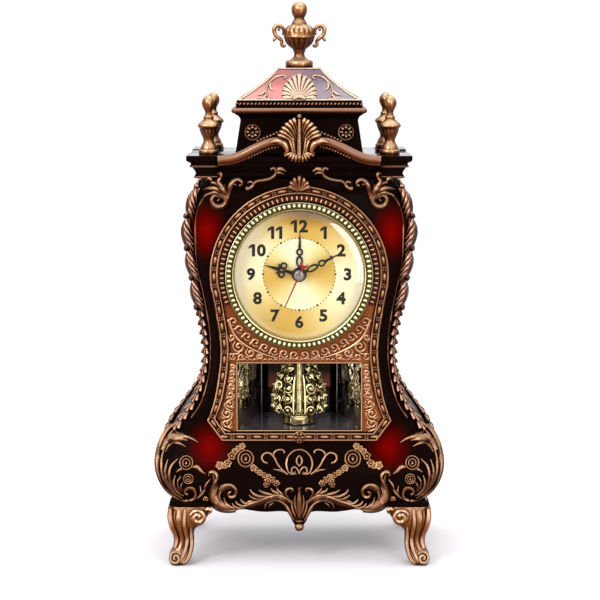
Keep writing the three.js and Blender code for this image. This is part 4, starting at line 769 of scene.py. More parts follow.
# Crest: an acanthus leaf over the pediment, right half
crest = {
    "front": -54.6, "top": 311.6, "knob": 1.7,
    "knobProfile": ((0, -1.2), (0.85, -0.8), (1, 0), (0.75, 0.75), (0, 1)),
    "stem": ((0, 284), (0, 292), (0, 301), (0, 310)), "stemRadii": (2.1, 1.9, 1.6, 1.3), "stemProud": 0.8,
    # tip and root of each leaflet; its bend: shares across and up, step back
    "leaves": (((4.0, 310.0), (1.2, 300.5)), ((6.8, 308.8), (1.6, 298.6)), ((9.3, 306.8), (2.0, 296.8)),
               ((11.6, 304.2), (2.6, 295.2)), ((13.2, 301.6), (3.2, 294.4)), ((14.4, 299.2), (4.0, 293.8))),
    "leafBend": ((0, 0, 0.4), (0.42, 0.62, -0.4), (0.8, 0.94, -0.9), (1, 1, -0.2)),
    "leafRadii": (0.6, 1.1, 1.5, 0.8),
    # the long strands that run down beside the stem
    "runs": (((4.4, 298.0), (3.6, 292), (2.4, 285)), ((7.6, 297), (5.4, 292.6), (4.0, 285.6))),
    "runRadii": (0.6, 1.1, 0.8),
    # the rail's end, turning down over the foot of the leaf
    "curl": ((19.4, 294.3), (15.2, 295.2), (11.2, 294.0), (8.7, 291.0), (8.2, 287.4), (9.4, 285.2)),
    "curlRadii": (0.4, 2.0, 2.7, 2.3, 1.6, 0.9), "curlBack": 0.6,
    # flutes of the foot: ends, height of the roots, bend
    "flutes": ((0, 281.2), (2.5, 281.4), (4.9, 282.2), (7.0, 283.6), (8.6, 285.6)), "fluteRoot": 287.6,
    "fluteBend": ((0.5, 0, 0.2), (0.85, 0.6, -0.5), (1, 1, 0.3)),
    "backing": ((0, 282), (6, 284), (8, 290), (12.4, 296), (12.6, 301), (9, 305.4), (4, 308.6), (0, 309.4)),
    "backingDepth": (-53.8, -52.3),
}


def makeCrest():
    c = crest
    y = c["front"]
    strands = [([(x, y - c["stemProud"], z) for x, z in c["stem"]], c["stemRadii"])]
    for (tipX, tipZ), (rootX, rootZ) in c["leaves"]:
        leaf = [(blendAt(rootX, tipX, wide), y + back, blendAt(rootZ, tipZ, up))
            for wide, up, back in c["leafBend"]]
        strands.append((leaf, c["leafRadii"]))
    strands += [([(x, y, z) for x, z in run], c["runRadii"]) for run in c["runs"]]
    strands.append(([(x, y + c["curlBack"], z) for x, z in c["curl"]], c["curlRadii"]))
    for x, z in c["flutes"]:
        flute = [(x * wide, y + back, blendAt(c["fluteRoot"], z, down))
            for wide, down, back in c["fluteBend"]]
        strands.append((flute, c["runRadii"]))
    leaves = strandsOf("crest_leaves", strands)
    ball = spun("crest_knob", [(c["knob"] * r, c["knob"] * h) for r, h in c["knobProfile"]], 0, y, c["top"],
        steps=16)
    backing = plateOf("crest_backing", c["backing"], *c["backingDepth"])
    piece = mirroredX(joined("acanthus_crest", leaves, ball, backing))
    finished(piece, turnedBronze, "bronze_paint", "crest_leaf", angle=60)


# Tower with its cornice, bead row and rosettes
tower = {
    "bottom": 284.5, "top": 312.4, "half": (44, 30), "inset": 3.5,
    "rows": ((0, 0), (0.06, 0), (0.1, 0.12), (0.3, 0.36), (0.5, 0.6), (0.7, 0.84), (0.82, 1), (0.87, 0.96),
        (0.91, 0.8), (0.95, 0.5), (0.98, 0.1), (1, -0.1)),
    "corniceHalf": (46, 32), "corniceTall": 8.8,
    # share of the height and step out; the dark band carries the rope
    "cornice": ((0, -2), (0.05, -0.6), (0.12, 0.1), (0.2, 0.4), (0.28, 0.45), (0.36, 0.2), (0.43, -0.4),
        (0.47, -1.6)),
    "ropeBand": ((0.45, -3.0), (0.52, -2.4), (0.56, -2.6), (0.58, -3.6), (0.9, -3.6), (0.92, -2.9),
        (1, -2.9)),
    # the rope's beads; it lies at a share of the height and a step in
    "bead": (0.95, 1.0925, 1.5), "beadGap": 2.6, "beadLean": 38, "rope": (0.74, 3.3), "ropeCorner": 0.1,
    # a rosette's x, z and radius; depth and slope of the wall
    "rosette": (32.1, 299.7, 5.4), "wall": (-27.9, 0.15),
}


def makeTower():
    t = tower
    tall = t["top"] - t["bottom"]
    rows = [(t["half"][0] - i * t["inset"], t["half"][1] - i * t["inset"], t["bottom"] + up * tall)
            for up, i in t["rows"]]
    finished(moulded("tower_walls", rows, bevel=0.3), lacquer, "lacquer", "tower_body", angle=30)


def makeCornice():
    t = tower
    halfX, halfY = t["corniceHalf"]

    def stepped(name, shares):
        rows = [(halfX + out, halfY + out, t["top"] + up * t["corniceTall"]) for up, out in shares]
        return moulded(name, rows, bevel=0.1)

    finished(stepped("rope_ground", t["ropeBand"]), lacquer, "lacquer", angle=30)
    band = stepped("cornice_band", t["cornice"])
    share, inset = t["rope"]
    z = t["top"] + share * t["corniceTall"]
    places = []
    ring = boxRow(halfX - inset, halfY - inset, z, t["ropeCorner"])
    for (x, y, _), (dx, dy, _) in evenly(ring, t["beadGap"], True):
        along = Matrix.Rotation(atan2(dy, dx), 4, "Z") @ Matrix.Rotation(radians(t["beadLean"]), 4, "Y")
        places.append(Matrix.Translation((x, y, z)) @ along)
    rope = copies("cornice_rope", beadShape(*t["bead"]), places)
    piece = joined("tower_cornice_rope", band, rope)
    finished(piece, railBronze, "bronze_paint", "tower_cornice", angle=50)


# a round flower, in shares of its radius: reach, height, thickness; reach and thickness of the rims
blossom = {
    "petal": ((0.28, 0.04, 0.12), (0.56, 0.2, 0.22), (0.82, 0.02, 0.15)),
    "eye": ((0, -0.1, 0.26), (0, 0.32, 0.14)),
    "rims": ((0.95, 0.08),), "bareRims": ((0.92, 0.13), (0.52, 0.13)), "rimHeight": 0.05, "rimSteps": 16,
}


def rosetteAt(x, z, radius, lay, petals=8):
    # strands of a round flower; lay sets x, z and a height on the ground
    b = blossom

    def along(rows, angle):
        line = [lay(*roundAt(x, z, reach * radius, angle), out * radius) for reach, out, _ in rows]
        return line, [thick * radius for *_, thick in rows]

    strands = [along(b["petal"], 2 * pi * i / petals) for i in range(petals)]
    strands.append(along(b["eye"], 0))
    for reach, thick in b["rims"] if petals else b["bareRims"]:
        turns = [2 * pi * i / b["rimSteps"] for i in range(b["rimSteps"] + 1)]
        rim = [lay(*roundAt(x, z, reach * radius, a), b["rimHeight"] * radius) for a in turns]
        strands.append((rim, [thick * radius] * 2))
    return strands


def makeRosettes():
    x, z, radius = tower["rosette"]
    depth, slope = tower["wall"]
    strands = rosetteAt(x, z, radius, lambda px, pz, out: (px, depth - slope * (z - pz) - out, pz))
    piece = mirroredX(strandsOf("tower_rosettes", strands))
    finished(piece, bronze, "bronze_paint", angle=60)


# Hipped roof with hollow flanks, ribs down its hips, a shell and leaf scrolls on its front
roofShape = {
    "bottom": 321.2, "top": 342.7, "lowHalf": (42, 28), "highHalf": (14.5, 11), "hollow": 0.35,
    "levels": 12, "corner": 0.8, "rib": (0.975, 0.75, 0.75),
    # rings round its top and foot
    "ring": 0.7, "ringCorner": 0.4, "ringLift": 0.4,
    # the shell: reach up and aside, half spread in degrees
    "shellRoot": 322.8, "shellReach": (16.6, 11.6), "shellRibs": 13, "shellSpread": 88,
    # each rib, between two fine ones: lean, shares of the reach, radii, height
    "ridges": ((0, (0.15, 0.5, 0.82, 0.97), (0.6, 1.3, 1.9, 1.0), 0.5),
        (-0.07, (0.55, 0.8, 0.99), (0.5, 0.9, 0.5), 0.9), (0.07, (0.55, 0.8, 0.99), (0.5, 0.9, 0.5), 0.9)),
    "shellFoot": (((-4.2, 322.4), (0, 323.8), (4.2, 322.4)), (0.9, 1.9, 0.9), 1.6), "scrollProud": 0.4,
    # the scrolls beside the shell: right half
    "scrolls": strokes("""
        19.6 321.8, 22.6 325.4, 22.2 330.4, 18.4 335.4, 13.4 337.8, 9.2 337.2, 10.4 335.6:
            0.9 0.9 0.8 0.8 0.7 0.6;
        19.6 333.2, 20 330, 17.6 327.8: 0.5 1 0.3;
        22.2 329, 25 326, 28.6 324.8: 0.5 1 0.3;
        25.4 322, 23.4 324, 22.4 326.6: 0.4 0.9 0.4;
        20 322.2, 26 322.8, 32 322.2: 0.6 0.8 0.3"""),
}


def roofHalf(z):
    r = roofShape
    u = (z - r["bottom"]) / (r["top"] - r["bottom"])
    bent = u + r["hollow"] * u * (1 - u)
    return [blendAt(low, high, bent) for low, high in zip(r["lowHalf"], r["highHalf"])]


def onRoof(points, proud):
    return [(x, -roofHalf(z)[1] - proud, z) for x, z in points]


def makeRoof():
    r = roofShape
    levels = [blendAt(r["bottom"], r["top"], i / r["levels"]) for i in range(r["levels"] + 1)]
    hips = lofted("roof_hips", [boxRow(*roofHalf(z), z, r["corner"]) for z in levels])
    finished(hips, roofGlaze, "roof_gloss", "roof", angle=25)
    strands = []
    for sideX in (-1, 1):
        for sideY in (-1, 1):
            line = [(sideX * roofHalf(z)[0], sideY * roofHalf(z)[1], z) for z in levels[::2]]
            strands.append((line, r["rib"]))
    for half, z in ((r["highHalf"], r["top"]), (r["lowHalf"], r["bottom"] + r["ringLift"])):
        strands += ringStrands(boxRow(*half, z, r["ringCorner"]), r["ring"])
    finished(strandsOf("roof_hip_ribs", strands), shellBronze, "bronze_paint", angle=60)


def makeShell():
    r = roofShape
    tall, wide = r["shellReach"]
    strands = []
    for i in range(r["shellRibs"]):
        side = 2 * i / (r["shellRibs"] - 1) - 1
        a = radians(90 - r["shellSpread"] * side)
        reach = blendAt(tall, wide, abs(side))
        for lean, shares, radii, proud in r["ridges"]:
            line = [roundAt(0, r["shellRoot"], k * reach, a + lean * k) for k in shares]
            strands.append((onRoof(line, proud), radii))
    for side in (-1, 1):
        strands += [(onRoof([(side * x, z) for x, z in line], r["scrollProud"]), radii)
            for line, radii in r["scrolls"]]
    line, radii, proud = r["shellFoot"]
    strands.append((onRoof(line, proud), radii))
    finished(strandsOf("roof_shell", strands), shellBronze, "bronze_paint", angle=60)


# Urn and finials: turned profiles with lobes pressed into them
def lobed(piece, x, y, low, high, count, depth, twist):
    # presses upright or twisted lobes into a turned piece between two heights
    valley = 0.6
    for point in piece.data.vertices:
        px, py, pz = point.co / mm
        if low <= pz <= high:
            up = (pz - low) / (high - low)
            angle = atan2(py - y, px - x)
            wave = abs(sin(count / 2 * angle + twist * up)) - valley
            scale = 1 + depth * wave * sin(pi * up)
            point.co = Vector((x + (px - x) * scale, y + (py - y) * scale, pz)) * mm


def turnedPiece(name, shape, x=0, y=0, steps=64):
    # a profile of radius and share of the height, with bands of lobes
    up = lambda share: shape["bottom"] + share * shape["tall"]
    piece = spun(name, [(r, share * shape["tall"]) for r, share in shape["profile"]], x, y, shape["bottom"],
        steps=steps)
    for low, high, count, depth, twist in shape["lobes"]:
        lobed(piece, x, y, up(low), up(high), count, depth, twist)
    return piece


urn = {
    "bottom": 342.7, "tall": 46,
    "profile": spots("""0 0, 9.2 0, 9.6 0.015, 9.6 0.095, 9.1 0.115, 6.6 0.13, 5.1 0.15, 3.9 0.18,
        3.6 0.21, 3.7 0.24, 4.3 0.258, 4.3 0.275, 4.7 0.29, 5.9 0.31, 7.4 0.34, 8.7 0.375, 9.8 0.415,
        10.4 0.45, 11 0.465, 11 0.485, 10.5 0.5, 10.5 0.535, 10.1 0.575, 9.2 0.61, 7.7 0.64, 5.8 0.66,
        5.2 0.672, 5.2 0.69, 4.5 0.705, 4.1 0.725, 3.5 0.742, 3.7 0.765, 4.5 0.79, 5.2 0.83, 5.5 0.88,
        5.1 0.93, 4 0.965, 2.1 0.99, 0 1"""),
    # a scrolled ear, from shoulder to bowl, and its spur
    "ear": spots("""11.3 0.5, 10.9 0.565, 12.1 0.618, 14.5 0.642, 16.8 0.618, 17.5 0.56, 16.3 0.495,
        13.9 0.45, 12.2 0.405, 12.3 0.355, 10.9 0.33, 9.6 0.36"""),
    "earRadii": (1.0, 1.2, 1.5, 1.4, 1.3, 1.1, 0.9), "spur": ((15.6, 0.48), (17.2, 0.44), (18.2, 0.405)),
    "spurRadii": (0.7, 1.1, 0.5),
    "eye": ((13.4, 0.6), (14.2, 0.585), (14.4, 0.56)),
    # bands of lobes: low, high, number, depth, twist
    "lobes": ((0.285, 0.46, 16, 0.14, 0), (0.5, 0.665, 16, 0.14, 0)),
}


def makeUrn():
    u = urn
    lines = [(u["ear"], u["earRadii"]), (u["spur"], u["spurRadii"]), (u["eye"], u["spurRadii"])]
    ears = [([(x, 0, u["bottom"] + share * u["tall"]) for x, share in line], radii) for line, radii in lines]
    handle = mirroredX(strandsOf("urn_handle", ears, 2, 4))
    piece = joined("two_handled_urn", turnedPiece("urn_bowl", u), handle)
    finished(piece, turnedBronze, "bronze_paint", "urn", angle=50)


finialShape = {
    "places": {"front_left": (-62, -33), "front_right": (62, -33), "rear_left": (-62, 33),
        "rear_right": (62, 33)},
    "bottom": 284.5, "tall": 40.7,
    "profile": spots("""0 0, 6.7 0, 6.95 0.02, 6.95 0.075, 6.6 0.092, 5.9 0.1, 5.6 0.13, 4.9 0.17,
        4.1 0.2, 3.6 0.23, 3.6 0.26, 4.1 0.3, 5.1 0.36, 6 0.42, 6.4 0.455, 7.2 0.47, 7.5 0.49, 7.2 0.515,
        6.2 0.54, 4.6 0.57, 3.4 0.6, 3.3 0.62, 3.5 0.635, 3.2 0.65, 2.4 0.67, 2.2 0.7, 2.4 0.73, 3.2 0.77,
        4 0.82, 4.3 0.87, 3.9 0.92, 2.8 0.96, 1.3 0.99, 0 1"""),
    "lobes": ((0.26, 0.46, 12, 0.14, 0), (0.7, 1.0, 4, 0.16, 2.6)),
}


def makeFinial(corner, x, y):
    piece = turnedPiece("leafed_finial_" + corner, finialShape, x, y, steps=48)
    finished(piece, turnedBronze, "bronze_paint", "finial_" + corner, angle=50)


makePlatform()
makePlatformLines()
makeRail()
makeCrest()
makeTower()
makeCornice()
makeRosettes()
makeRoof()
makeShell()
makeUrn()
for corner, (x, y) in finialShape["places"].items():
    makeFinial(corner, x, y)
print("platform, tower, roof and finials made")


# Face: a bead-and-leaf band round a copper scroll panel, the beaded bezel, dial and hands
face = {
    # the band's outline
    "bandRadius": 61.4, "meetAngle": -12, "waist": (54.4, 148), "footCorner": (64, 101.2),
    "bottom": (53.7, 87),
    # bends in shares across and up, and how an inset draws in the foot
    "lowBend": (0.58, 0.36), "highBend": (0.4, 0.55), "footRise": 0.3, "footIn": 0.41, "arcSteps": 24,
    "band": 6, "bandFront": -48.5, "bandGap": 0.2, "bandEdge": 0.3,
    "rimFront": -49.0, "rim": 0.62, "rimInset": 0.8,
    "leafGap": 5.8, "bud": (1.45, 1.0, 3.2), "crossBead": 0.7, "crossReach": 1.1,
    "crossTurns": (45, 135, 225, 315),
    # lift over the bottom, radius, petals
    "rosette": (3, 4.0, 6),
    # the crown of leaves over the dial: longest reach and its loss aside
    "crownRoot": (-49.6, 261), "crownSpread": 66, "crownReach": (10.5, 2.2), "crownSide": 3, "crownLean": 0.8,
    "crownShares": (0.1, 0.55, 0.9, 1), "crownRadii": (0.7, 1.2, 1.5, 0.6),
    "panelFront": -47.6, "panelEdge": 0.25, "panelGap": 0.3, "lip": 0.5,
    "ringInner": 50.6, "ringOuter": 54.8, "ringReach": 112, "ringDepth": (-49.2, -47), "ringEdge": 0.4,
    "ringSteps": 40,
    "ringBars": 62, "bar": (0.9, 0.9, 2.1),
    "bezelBeads": 88, "bezelBead": (1.32, 1.0, 1.75), "bezelBeadRadius": 48.05, "bezelBeadFront": -52.7,
    # radius and depth
    "bezel": spots("""44.5 -43.3, 44.5 -51.3, 44.6 -52.6, 45 -53.2, 45.5 -53.4, 45.9 -53, 46.1 -52,
        49.9 -51.8, 50 -52.6, 50.3 -52.4, 50.3 -48, 46.2 -48, 46.2 -43.3, 44.5 -43.3"""),
    "lens": spots("""0 -54.4, 16 -54.25, 28 -53.9, 35 -53.4, 39 -52.75, 41.6 -52.05, 43.4 -51.35,
        45.8 -50.9"""),
    "lensThick": 0.7,
}
dialHeight = case["dialHeight"]


def dialSpot(radius, turn):
    # a spot about the dial's centre, turned in degrees from twelve
    a = radians(turn)
    return radius * sin(a), dialHeight + radius * cos(a)


def bandLine(inset):
    # the outline drawn in by an inset: arc over the dial, curved sides, mitred foot
    f = face
    turns = [radians(blendAt(f["meetAngle"], 90, i / f["arcSteps"])) for i in range(f["arcSteps"] + 1)]
    arc = [roundAt(0, dialHeight, f["bandRadius"] - inset, a) for a in turns]
    waist = (f["waist"][0] - inset, f["waist"][1])
    foot = (f["footCorner"][0] - inset, f["footCorner"][1] + f["footRise"] * inset)
    bent = lambda near, far, shares: tuple(blendAt(p, q, share) for p, q, share in zip(near, far, shares))
    side = smoothLine([foot, bent(foot, waist, f["lowBend"]), waist, bent(waist, arc[0], f["highBend"]),
        arc[0]])
    low = f["bottom"][1] + inset
    right = [(0, low), (f["bottom"][0] - f["footIn"] * inset, low), *side, *arc[1:]]
    return right + [(-x, z) for x, z in reversed(right[1:-1])]


def onFace(line, y):
    return [(x, y, z) for x, z in line]


def makeBand():
    f = face
    gap = f["bandGap"]
    plate = plateOf("band_plate", bandLine(gap), f["bandFront"], case["front"], f["bandEdge"],
        [bandLine(f["band"] - gap)])
    # the gadrooned ring lies over the upper arc of the dial
    turns = [f["ringReach"] * i / f["ringSteps"] for i in range(-f["ringSteps"], f["ringSteps"] + 1)]
    sector = [dialSpot(f["ringOuter"], turn) for turn in turns]
    sector += [dialSpot(f["ringInner"], turn) for turn in reversed(turns)]
    ring = plateOf("gadroon_ground", sector, *f["ringDepth"], f["ringEdge"])
    finished(joined("band_ground", plate, ring), bandGround, "copper_paint", "frame_surround")
    strands = []
    for inset in (f["rimInset"], f["band"] - f["rimInset"]):
        strands += ringStrands(onFace(bandLine(inset), f["rimFront"]), f["rim"])
    rims = strandsOf("band_rims", strands, 1, 1)
    # buds and crosses of beads take turns along the band
    buds, beads = [], []
    for i, ((x, z), (dx, dz)) in enumerate(evenly(bandLine(f["band"] / 2), f["leafGap"], True)):
        turn = degrees(atan2(dx, dz))
        if i % 2:
            buds.append(faceAt(x, f["bandFront"], z, turn))
            continue
        for a in f["crossTurns"]:
            spotX, spotZ = roundAt(x, z, f["crossReach"], radians(a - turn))
            beads.append(faceAt(spotX, f["bandFront"] - gap, spotZ))
    leaves = copies("band_buds", beadShape(*f["bud"]), buds)
    crosses = copies("band_crosses", beadShape(f["crossBead"], f["crossBead"], f["crossBead"], 6, 4), beads)
    lift, radius, petals = f["rosette"]
    ground = f["ringDepth"][0]
    strands = rosetteAt(0, f["bottom"][1] + lift, radius, lambda px, pz, out: (px, ground - out, pz), petals)
    rootY, rootZ = f["crownRoot"]
    longest, loss = f["crownReach"]
    for i in range(-f["crownSide"], f["crownSide"] + 1):
        aside = -i / f["crownSide"]
        reach = longest - loss * abs(aside)
        a = radians(90 + f["crownSpread"] * aside)
        leaf = [(k, roundAt(0, rootZ, reach * k, a)) for k in f["crownShares"]]
        strands.append(([(x, rootY - f["crownLean"] * k, z) for k, (x, z) in leaf], f["crownRadii"]))
    crown = strandsOf("band_crown", strands)
    piece = joined("bead_and_leaf_band", rims, leaves, crosses, crown)
    finished(piece, bandTrim, "copper_paint", angle=50)


filigree = {
    # right half: centre, outer radius, start angle, turns
    "volutes": ((41.5, 153.6, 4.6, 60, -1.5), (33.6, 149.2, 3.4, 60, -1.3), (46.4, 160.2, 2.6, 40, -1.2),
        (27.0, 146.9, 2.2, 60, -1.2), (40.0, 146.4, 2.3, 200, 1.2), (46.4, 147.0, 2.7, 200, 1.2)),
    # under the dial: distance, first angle and step from the bottom, number, radius
    "running": (55.5, 3.6, 7.3, 8, 3.2),
    "stem": ((48.6, 172), (46.6, 165.6), (43, 159.4), (37, 154.4), (30, 150.6), (22, 147.4), (13, 145.4),
        (4, 144.8)),
    "eye": 0.5, "voluteRadii": (0.4, 0.92, 0.92, 0.9), "stemRadii": (1.104, 0.92, 0.4),
    "linkRadii": (0.92, 0.92, 0.4),
    # a leaf tip on each: reach in radii, share of the lean, step back
    "tipAt": 0.25, "tipLean": 0.45, "tip": ((23 / 28, 1, 0), (1.15, 0, -0.1), (1.35, -1, 0)),
    "tipRadii": (0.6, 0.9, 0.35),
    # the column beside the window: heights of its volutes, their size, links
    "column": (140, 135.6, 130.8, 125.6, 119.8, 113.4, 106.4, 99.6), "columnFill": 0.6,
    "columnSizes": (1.5, 3.7),
    "columnBand": 3.5, "columnStart": 30, "shortTurns": 1.25, "link": ((1, 0.3), (0.7, -1), (-0.7, -1.6)),
    # arches over the window: pitch, height, half width and rise in pitches
    "arch": (3.6, 143.6, 0.4, 0.35), "archAngles": (0, 0.8, 1.57, 2.34, 3.14), "archRadii": (0.3, 0.6, 0.3),
    "proud": 0.1, "runningStart": 200,
}


def voluteStrands(x, z, radius, start, turns, y):
    # a volute with a leaf tip springing from its back
    f = filigree
    strands = [(onFace(spiral(x, z, radius, f["eye"], start, turns, 9), y), f["voluteRadii"])]
    a = radians(start + 360 * turns * f["tipAt"])
    lean = copysign(f["tipLean"], turns)
    tip = []
    for reach, share, back in f["tip"]:
        tip += onFace([roundAt(x, z, radius * reach, a + lean * share)], y + back)
    strands.append((tip, f["tipRadii"]))
    return strands


def columnX(z):
    # middle of the strip between window and band
    edge = [x for x, h in bandLine(face["band"]) if x > 0 and abs(h - z) < filigree["columnBand"]]
    return (case["window"][2] + sum(edge) / len(edge)) / 2


def makeFiligree():
    f = filigree
    y = face["panelFront"] - f["proud"]
    half = case["window"][2]
    strands = []
    for x, z, radius, start, turns in f["volutes"]:
        strands += voluteStrands(x, z, radius, start, turns, y)
    away, first, step, count, radius = f["running"]
    for i in range(count):
        turn = first + step * i
        strands += voluteStrands(*dialSpot(away, 180 - turn), radius, f["runningStart"] + turn,
            f["shortTurns"], y)
    strands.append((onFace(f["stem"], y), f["stemRadii"]))
    smallest, largest = f["columnSizes"]
    for i, z in enumerate(f["column"]):
        x = columnX(z)
        wide = min(max(smallest, (x - half) * f["columnFill"]), largest)
        way = 1 if i % 2 else -1
        strands += voluteStrands(x, z, wide, 90 + f["columnStart"] * way, f["shortTurns"] * way, y)
        link = [(x + wide * way * across, z + wide * up) for across, up in f["link"]]
        strands.append((onFace(link, y), f["linkRadii"]))
    pitch, archZ, halfWide, rise = f["arch"]
    for i in range(int(half / pitch)):
        bow = [((i + 0.5 + halfWide * cos(a)) * pitch, archZ + rise * pitch * sin(a))
            for a in f["archAngles"]]
        strands.append((onFace(bow, y), f["archRadii"]))
    return mirroredX(strandsOf("panel_scrolls", strands))


def makePanel():
    f = face
    opening = rectangle(*case["window"])
    hole = [roundAt(0, dialHeight, case["dialOpening"], 2 * pi * i / 96) for i in range(96)]
    rim = bandLine(f["band"] + f["panelGap"])
    sheet = plateOf("scroll_panel", rim, f["panelFront"], case["front"], f["panelEdge"], [opening, hole])
    bars = []
    for i in range(f["ringBars"]):
        turn = f["ringReach"] * (2 * (i + 0.5) / f["ringBars"] - 1)
        x, z = dialSpot((f["ringInner"] + f["ringOuter"]) / 2, turn)
        bars.append(faceAt(x, f["ringDepth"][0], z, turn))
    gadroons = copies("gadroons", beadShape(*f["bar"]), bars)
    edge = strandsOf("window_lip", ringStrands(onFace(opening, f["panelFront"]), f["lip"]), 1, 1)
    finished(joined("panel_filigree", makeFiligree(), gadroons, edge), copper, "copper_paint", angle=50)
    finished(sheet, copperGround, "copper_paint", "front_panel", angle=50)


def makeBezel():
    f = face
    ring = spun("bezel_ring", f["bezel"], z=dialHeight, axis="Y", steps=128)
    places = []
    for i in range(f["bezelBeads"]):
        turn = 360 * i / f["bezelBeads"]
        x, z = dialSpot(f["bezelBeadRadius"], turn)
        places.append(faceAt(x, f["bezelBeadFront"], z, turn))
    beads = copies("bezel_beads", beadShape(*f["bezelBead"]), places)
    finished(joined("beaded_bezel", ring, beads), paleGold, "pale_gold", "bezel", angle=45)


def makeLens():
    front = list(face["lens"])
    outer = front + [(r, depth + face["lensThick"]) for r, depth in reversed(front)]
    lens = spun("domed_lens", outer, z=dialHeight, axis="Y", steps=96)
    finished(lens, lensGlass, "clear_glass", "lens", angle=60)


# Dial: the hours as plain figures, and a ring of minute dots
dial = {
    "front": -43.0, "numberRadius": 33.2, "numberTall": 8.7, "weight": 0.041, "wide": 1.06, "spacing": 0.92,
    "numberProud": 0.1, "ink": 0.09, "dotRadius": 24.9, "dot": 0.48, "hourDot": 0.8, "dotFlat": 0.2,
    # the flag of a figure one, in widths of its bar from the bar's top left corner
    "flag": ((0.1, 0), (0.1, -0.95), (-1.05, -1.75), (-1.05, -0.85)),
}


def makeDial():
    d = dial
    finished(nodeCopy("dial_card", "dial_plate", 0), dialCard, "dial_card", "dial_plate")
    numbers = []
    bar = 0
    for hour in range(1, 13):
        name = "hour_%d" % hour
        text = bpy.data.curves.new(name, "FONT")
        text.body = str(hour)
        text.offset = d["weight"]
        text.resolution_u = 3
        text.space_character = d["spacing"]
        number = meshFrom(name, text)
        found = [v.co for v in number.data.vertices]
        low, high = (Vector((end(p.x for p in found), end(p.y for p in found), 0)) for end in (min, max))
        bar = bar or high.x - low.x
        flags = [low.x] * (hour in (1, 10, 11, 12)) + [high.x - bar] * (hour == 11)
        for left in flags:
            corners = [((left + x * bar) / mm, (high.y + y * bar) / mm, 0) for x, y in d["flag"]]
            number = joined(name, number, fromPoints("flag", corners, [(0, 1, 2, 3)]))
        low.x += min(x for x, _ in d["flag"]) * bar * bool(flags)
        scale = d["numberTall"] * mm / (high.y - low.y)
        x, z = dialSpot(d["numberRadius"], 30 * hour)
        spot = Vector((x, d["front"] - d["numberProud"], z)) * mm
        place = Matrix.Translation(spot) @ Matrix.Rotation(pi / 2, 4, "X")
        size = Matrix.Diagonal((scale * d["wide"], scale, scale, 1))
        number.data.transform(place @ size @ Matrix.Translation(-(low + high) / 2))
        numbers.append(number)
    sheet = applied(joined("dial_numbers", *numbers), "SOLIDIFY", thickness=d["ink"] * mm, offset=-1)
    dots = []
    for i in range(60):
        x, z = dialSpot(d["dotRadius"], 6 * i)
        dots.append(faceAt(x, d["front"], z, 0, d["dot"] if i % 5 else d["hourDot"]))
    marks = copies("minute_dots", beadShape(1, d["dotFlat"], 1), dots)
    finished(joined("dial_numbers", sheet, marks), numberInk, "dial_card", angle=30)


def loopLine(x, z, halfX, halfZ, count=10):
    # a closed loop, drawn from its lower end
    return [(x + halfX * sin(2 * pi * i / count), 0, z - halfZ * cos(2 * pi * i / count))
            for i in range(count + 1)]


hands = {
    # turn from twelve in degrees, depth, length, start of the blade, radius and bore of the collet
    "alarm": {"turn": 1, "front": -44.4, "long": 29, "root": 3, "collet": 4.6, "bore": 1.0},
    "hour": {"turn": 285.5, "front": -45.7, "long": 25, "root": 3, "collet": 5.0, "bore": 1.0},
    "minute": {"turn": 62, "front": -47.0, "long": 32.7, "root": 3, "collet": 3.9, "bore": 1.0},
    "second": {"turn": 204, "front": -48.3, "long": 24.3, "root": 2, "collet": 2.6, "bore": 0.4},
    "thick": 0.4, "bold": 1.25, "colletEdge": 0.4, "colletRise": 0.6,
    # the second hand's crescent: how far back, radius, ends and steps in degrees; its stem
    "tail": (-8.6, 2.3, 100, 25), "tailRadii": (0.3, 0.7, 0.9, 0.7, 0.3),
    "tailStem": (-2, -6.4), "tailStemRadii": (0.6, 0.6), "capFront": -48.3,
    "cap": ((0, -1.7), (1.6, -1.6), (3.1, -1.15), (3.75, -0.5), (3.85, -0.1), (0, -0.1)),
}
# blades in shares of their length: bars with their radii, open loops with across and half width
# in millimetres, and barbs on both sides
pierced = {
    "bars": (((0, 0.2), (0.9, 0.7)), ((0.42, 0.47), (0.5, 0.5)), ((0.6, 0.8, 1), (0.75, 0.55, 0.15))),
    "loops": ((0, 0.31, 1.75, 0.115, (0.45, 0.6, 0.45)), (0, 0.535, 1.75, 0.07, (0.5, 0.55, 0.5))),
    "barbs": (),
}
trefoil = {
    "bars": (((0, 0.4), (1.1, 0.9)), ((0.56, 0.75, 1), (1.0, 0.7, 0.15))),
    "loops": ((0, 0.49, 1.5, 0.08, (0.5, 0.6, 0.5)), (-3.1, 0.47, 1.9, 0.076, (0.5, 0.6, 0.5)),
        (3.1, 0.47, 1.9, 0.076, (0.5, 0.6, 0.5))),
    "barbs": ((((0, 0.6), (2.2, 0.58), (3.4, 0.64)), (0.6, 0.7, 0.2)),),
}
needle = {"bars": (((0, 1), (0.5, 0.3)),), "loops": (), "barbs": ()}


def bladeStrands(shape, root, long):
    strands = [([(0, 0, max(root, share * long)) for share in bar], radii) for bar, radii in shape["bars"]]
    for across, up, halfWide, halfTall, radii in shape["loops"]:
        strands.append((loopLine(across, up * long, halfWide, halfTall * long), radii))
    for line, radii in shape["barbs"]:
        strands += [([(side * x, 0, up * long) for x, up in line], radii) for side in (-1, 1)]
    return strands


def tailStrands():
    # a stem and a crescent behind the hub
    back, radius, end, step = hands["tail"]
    turns = [radians(turn) for turn in range(-end, end + 1, step)]
    crescent = [(radius * sin(a), 0, back + radius * cos(a)) for a in turns]
    return [([(0, 0, z) for z in hands["tailStem"]], hands["tailStemRadii"]), (crescent, hands["tailRadii"])]


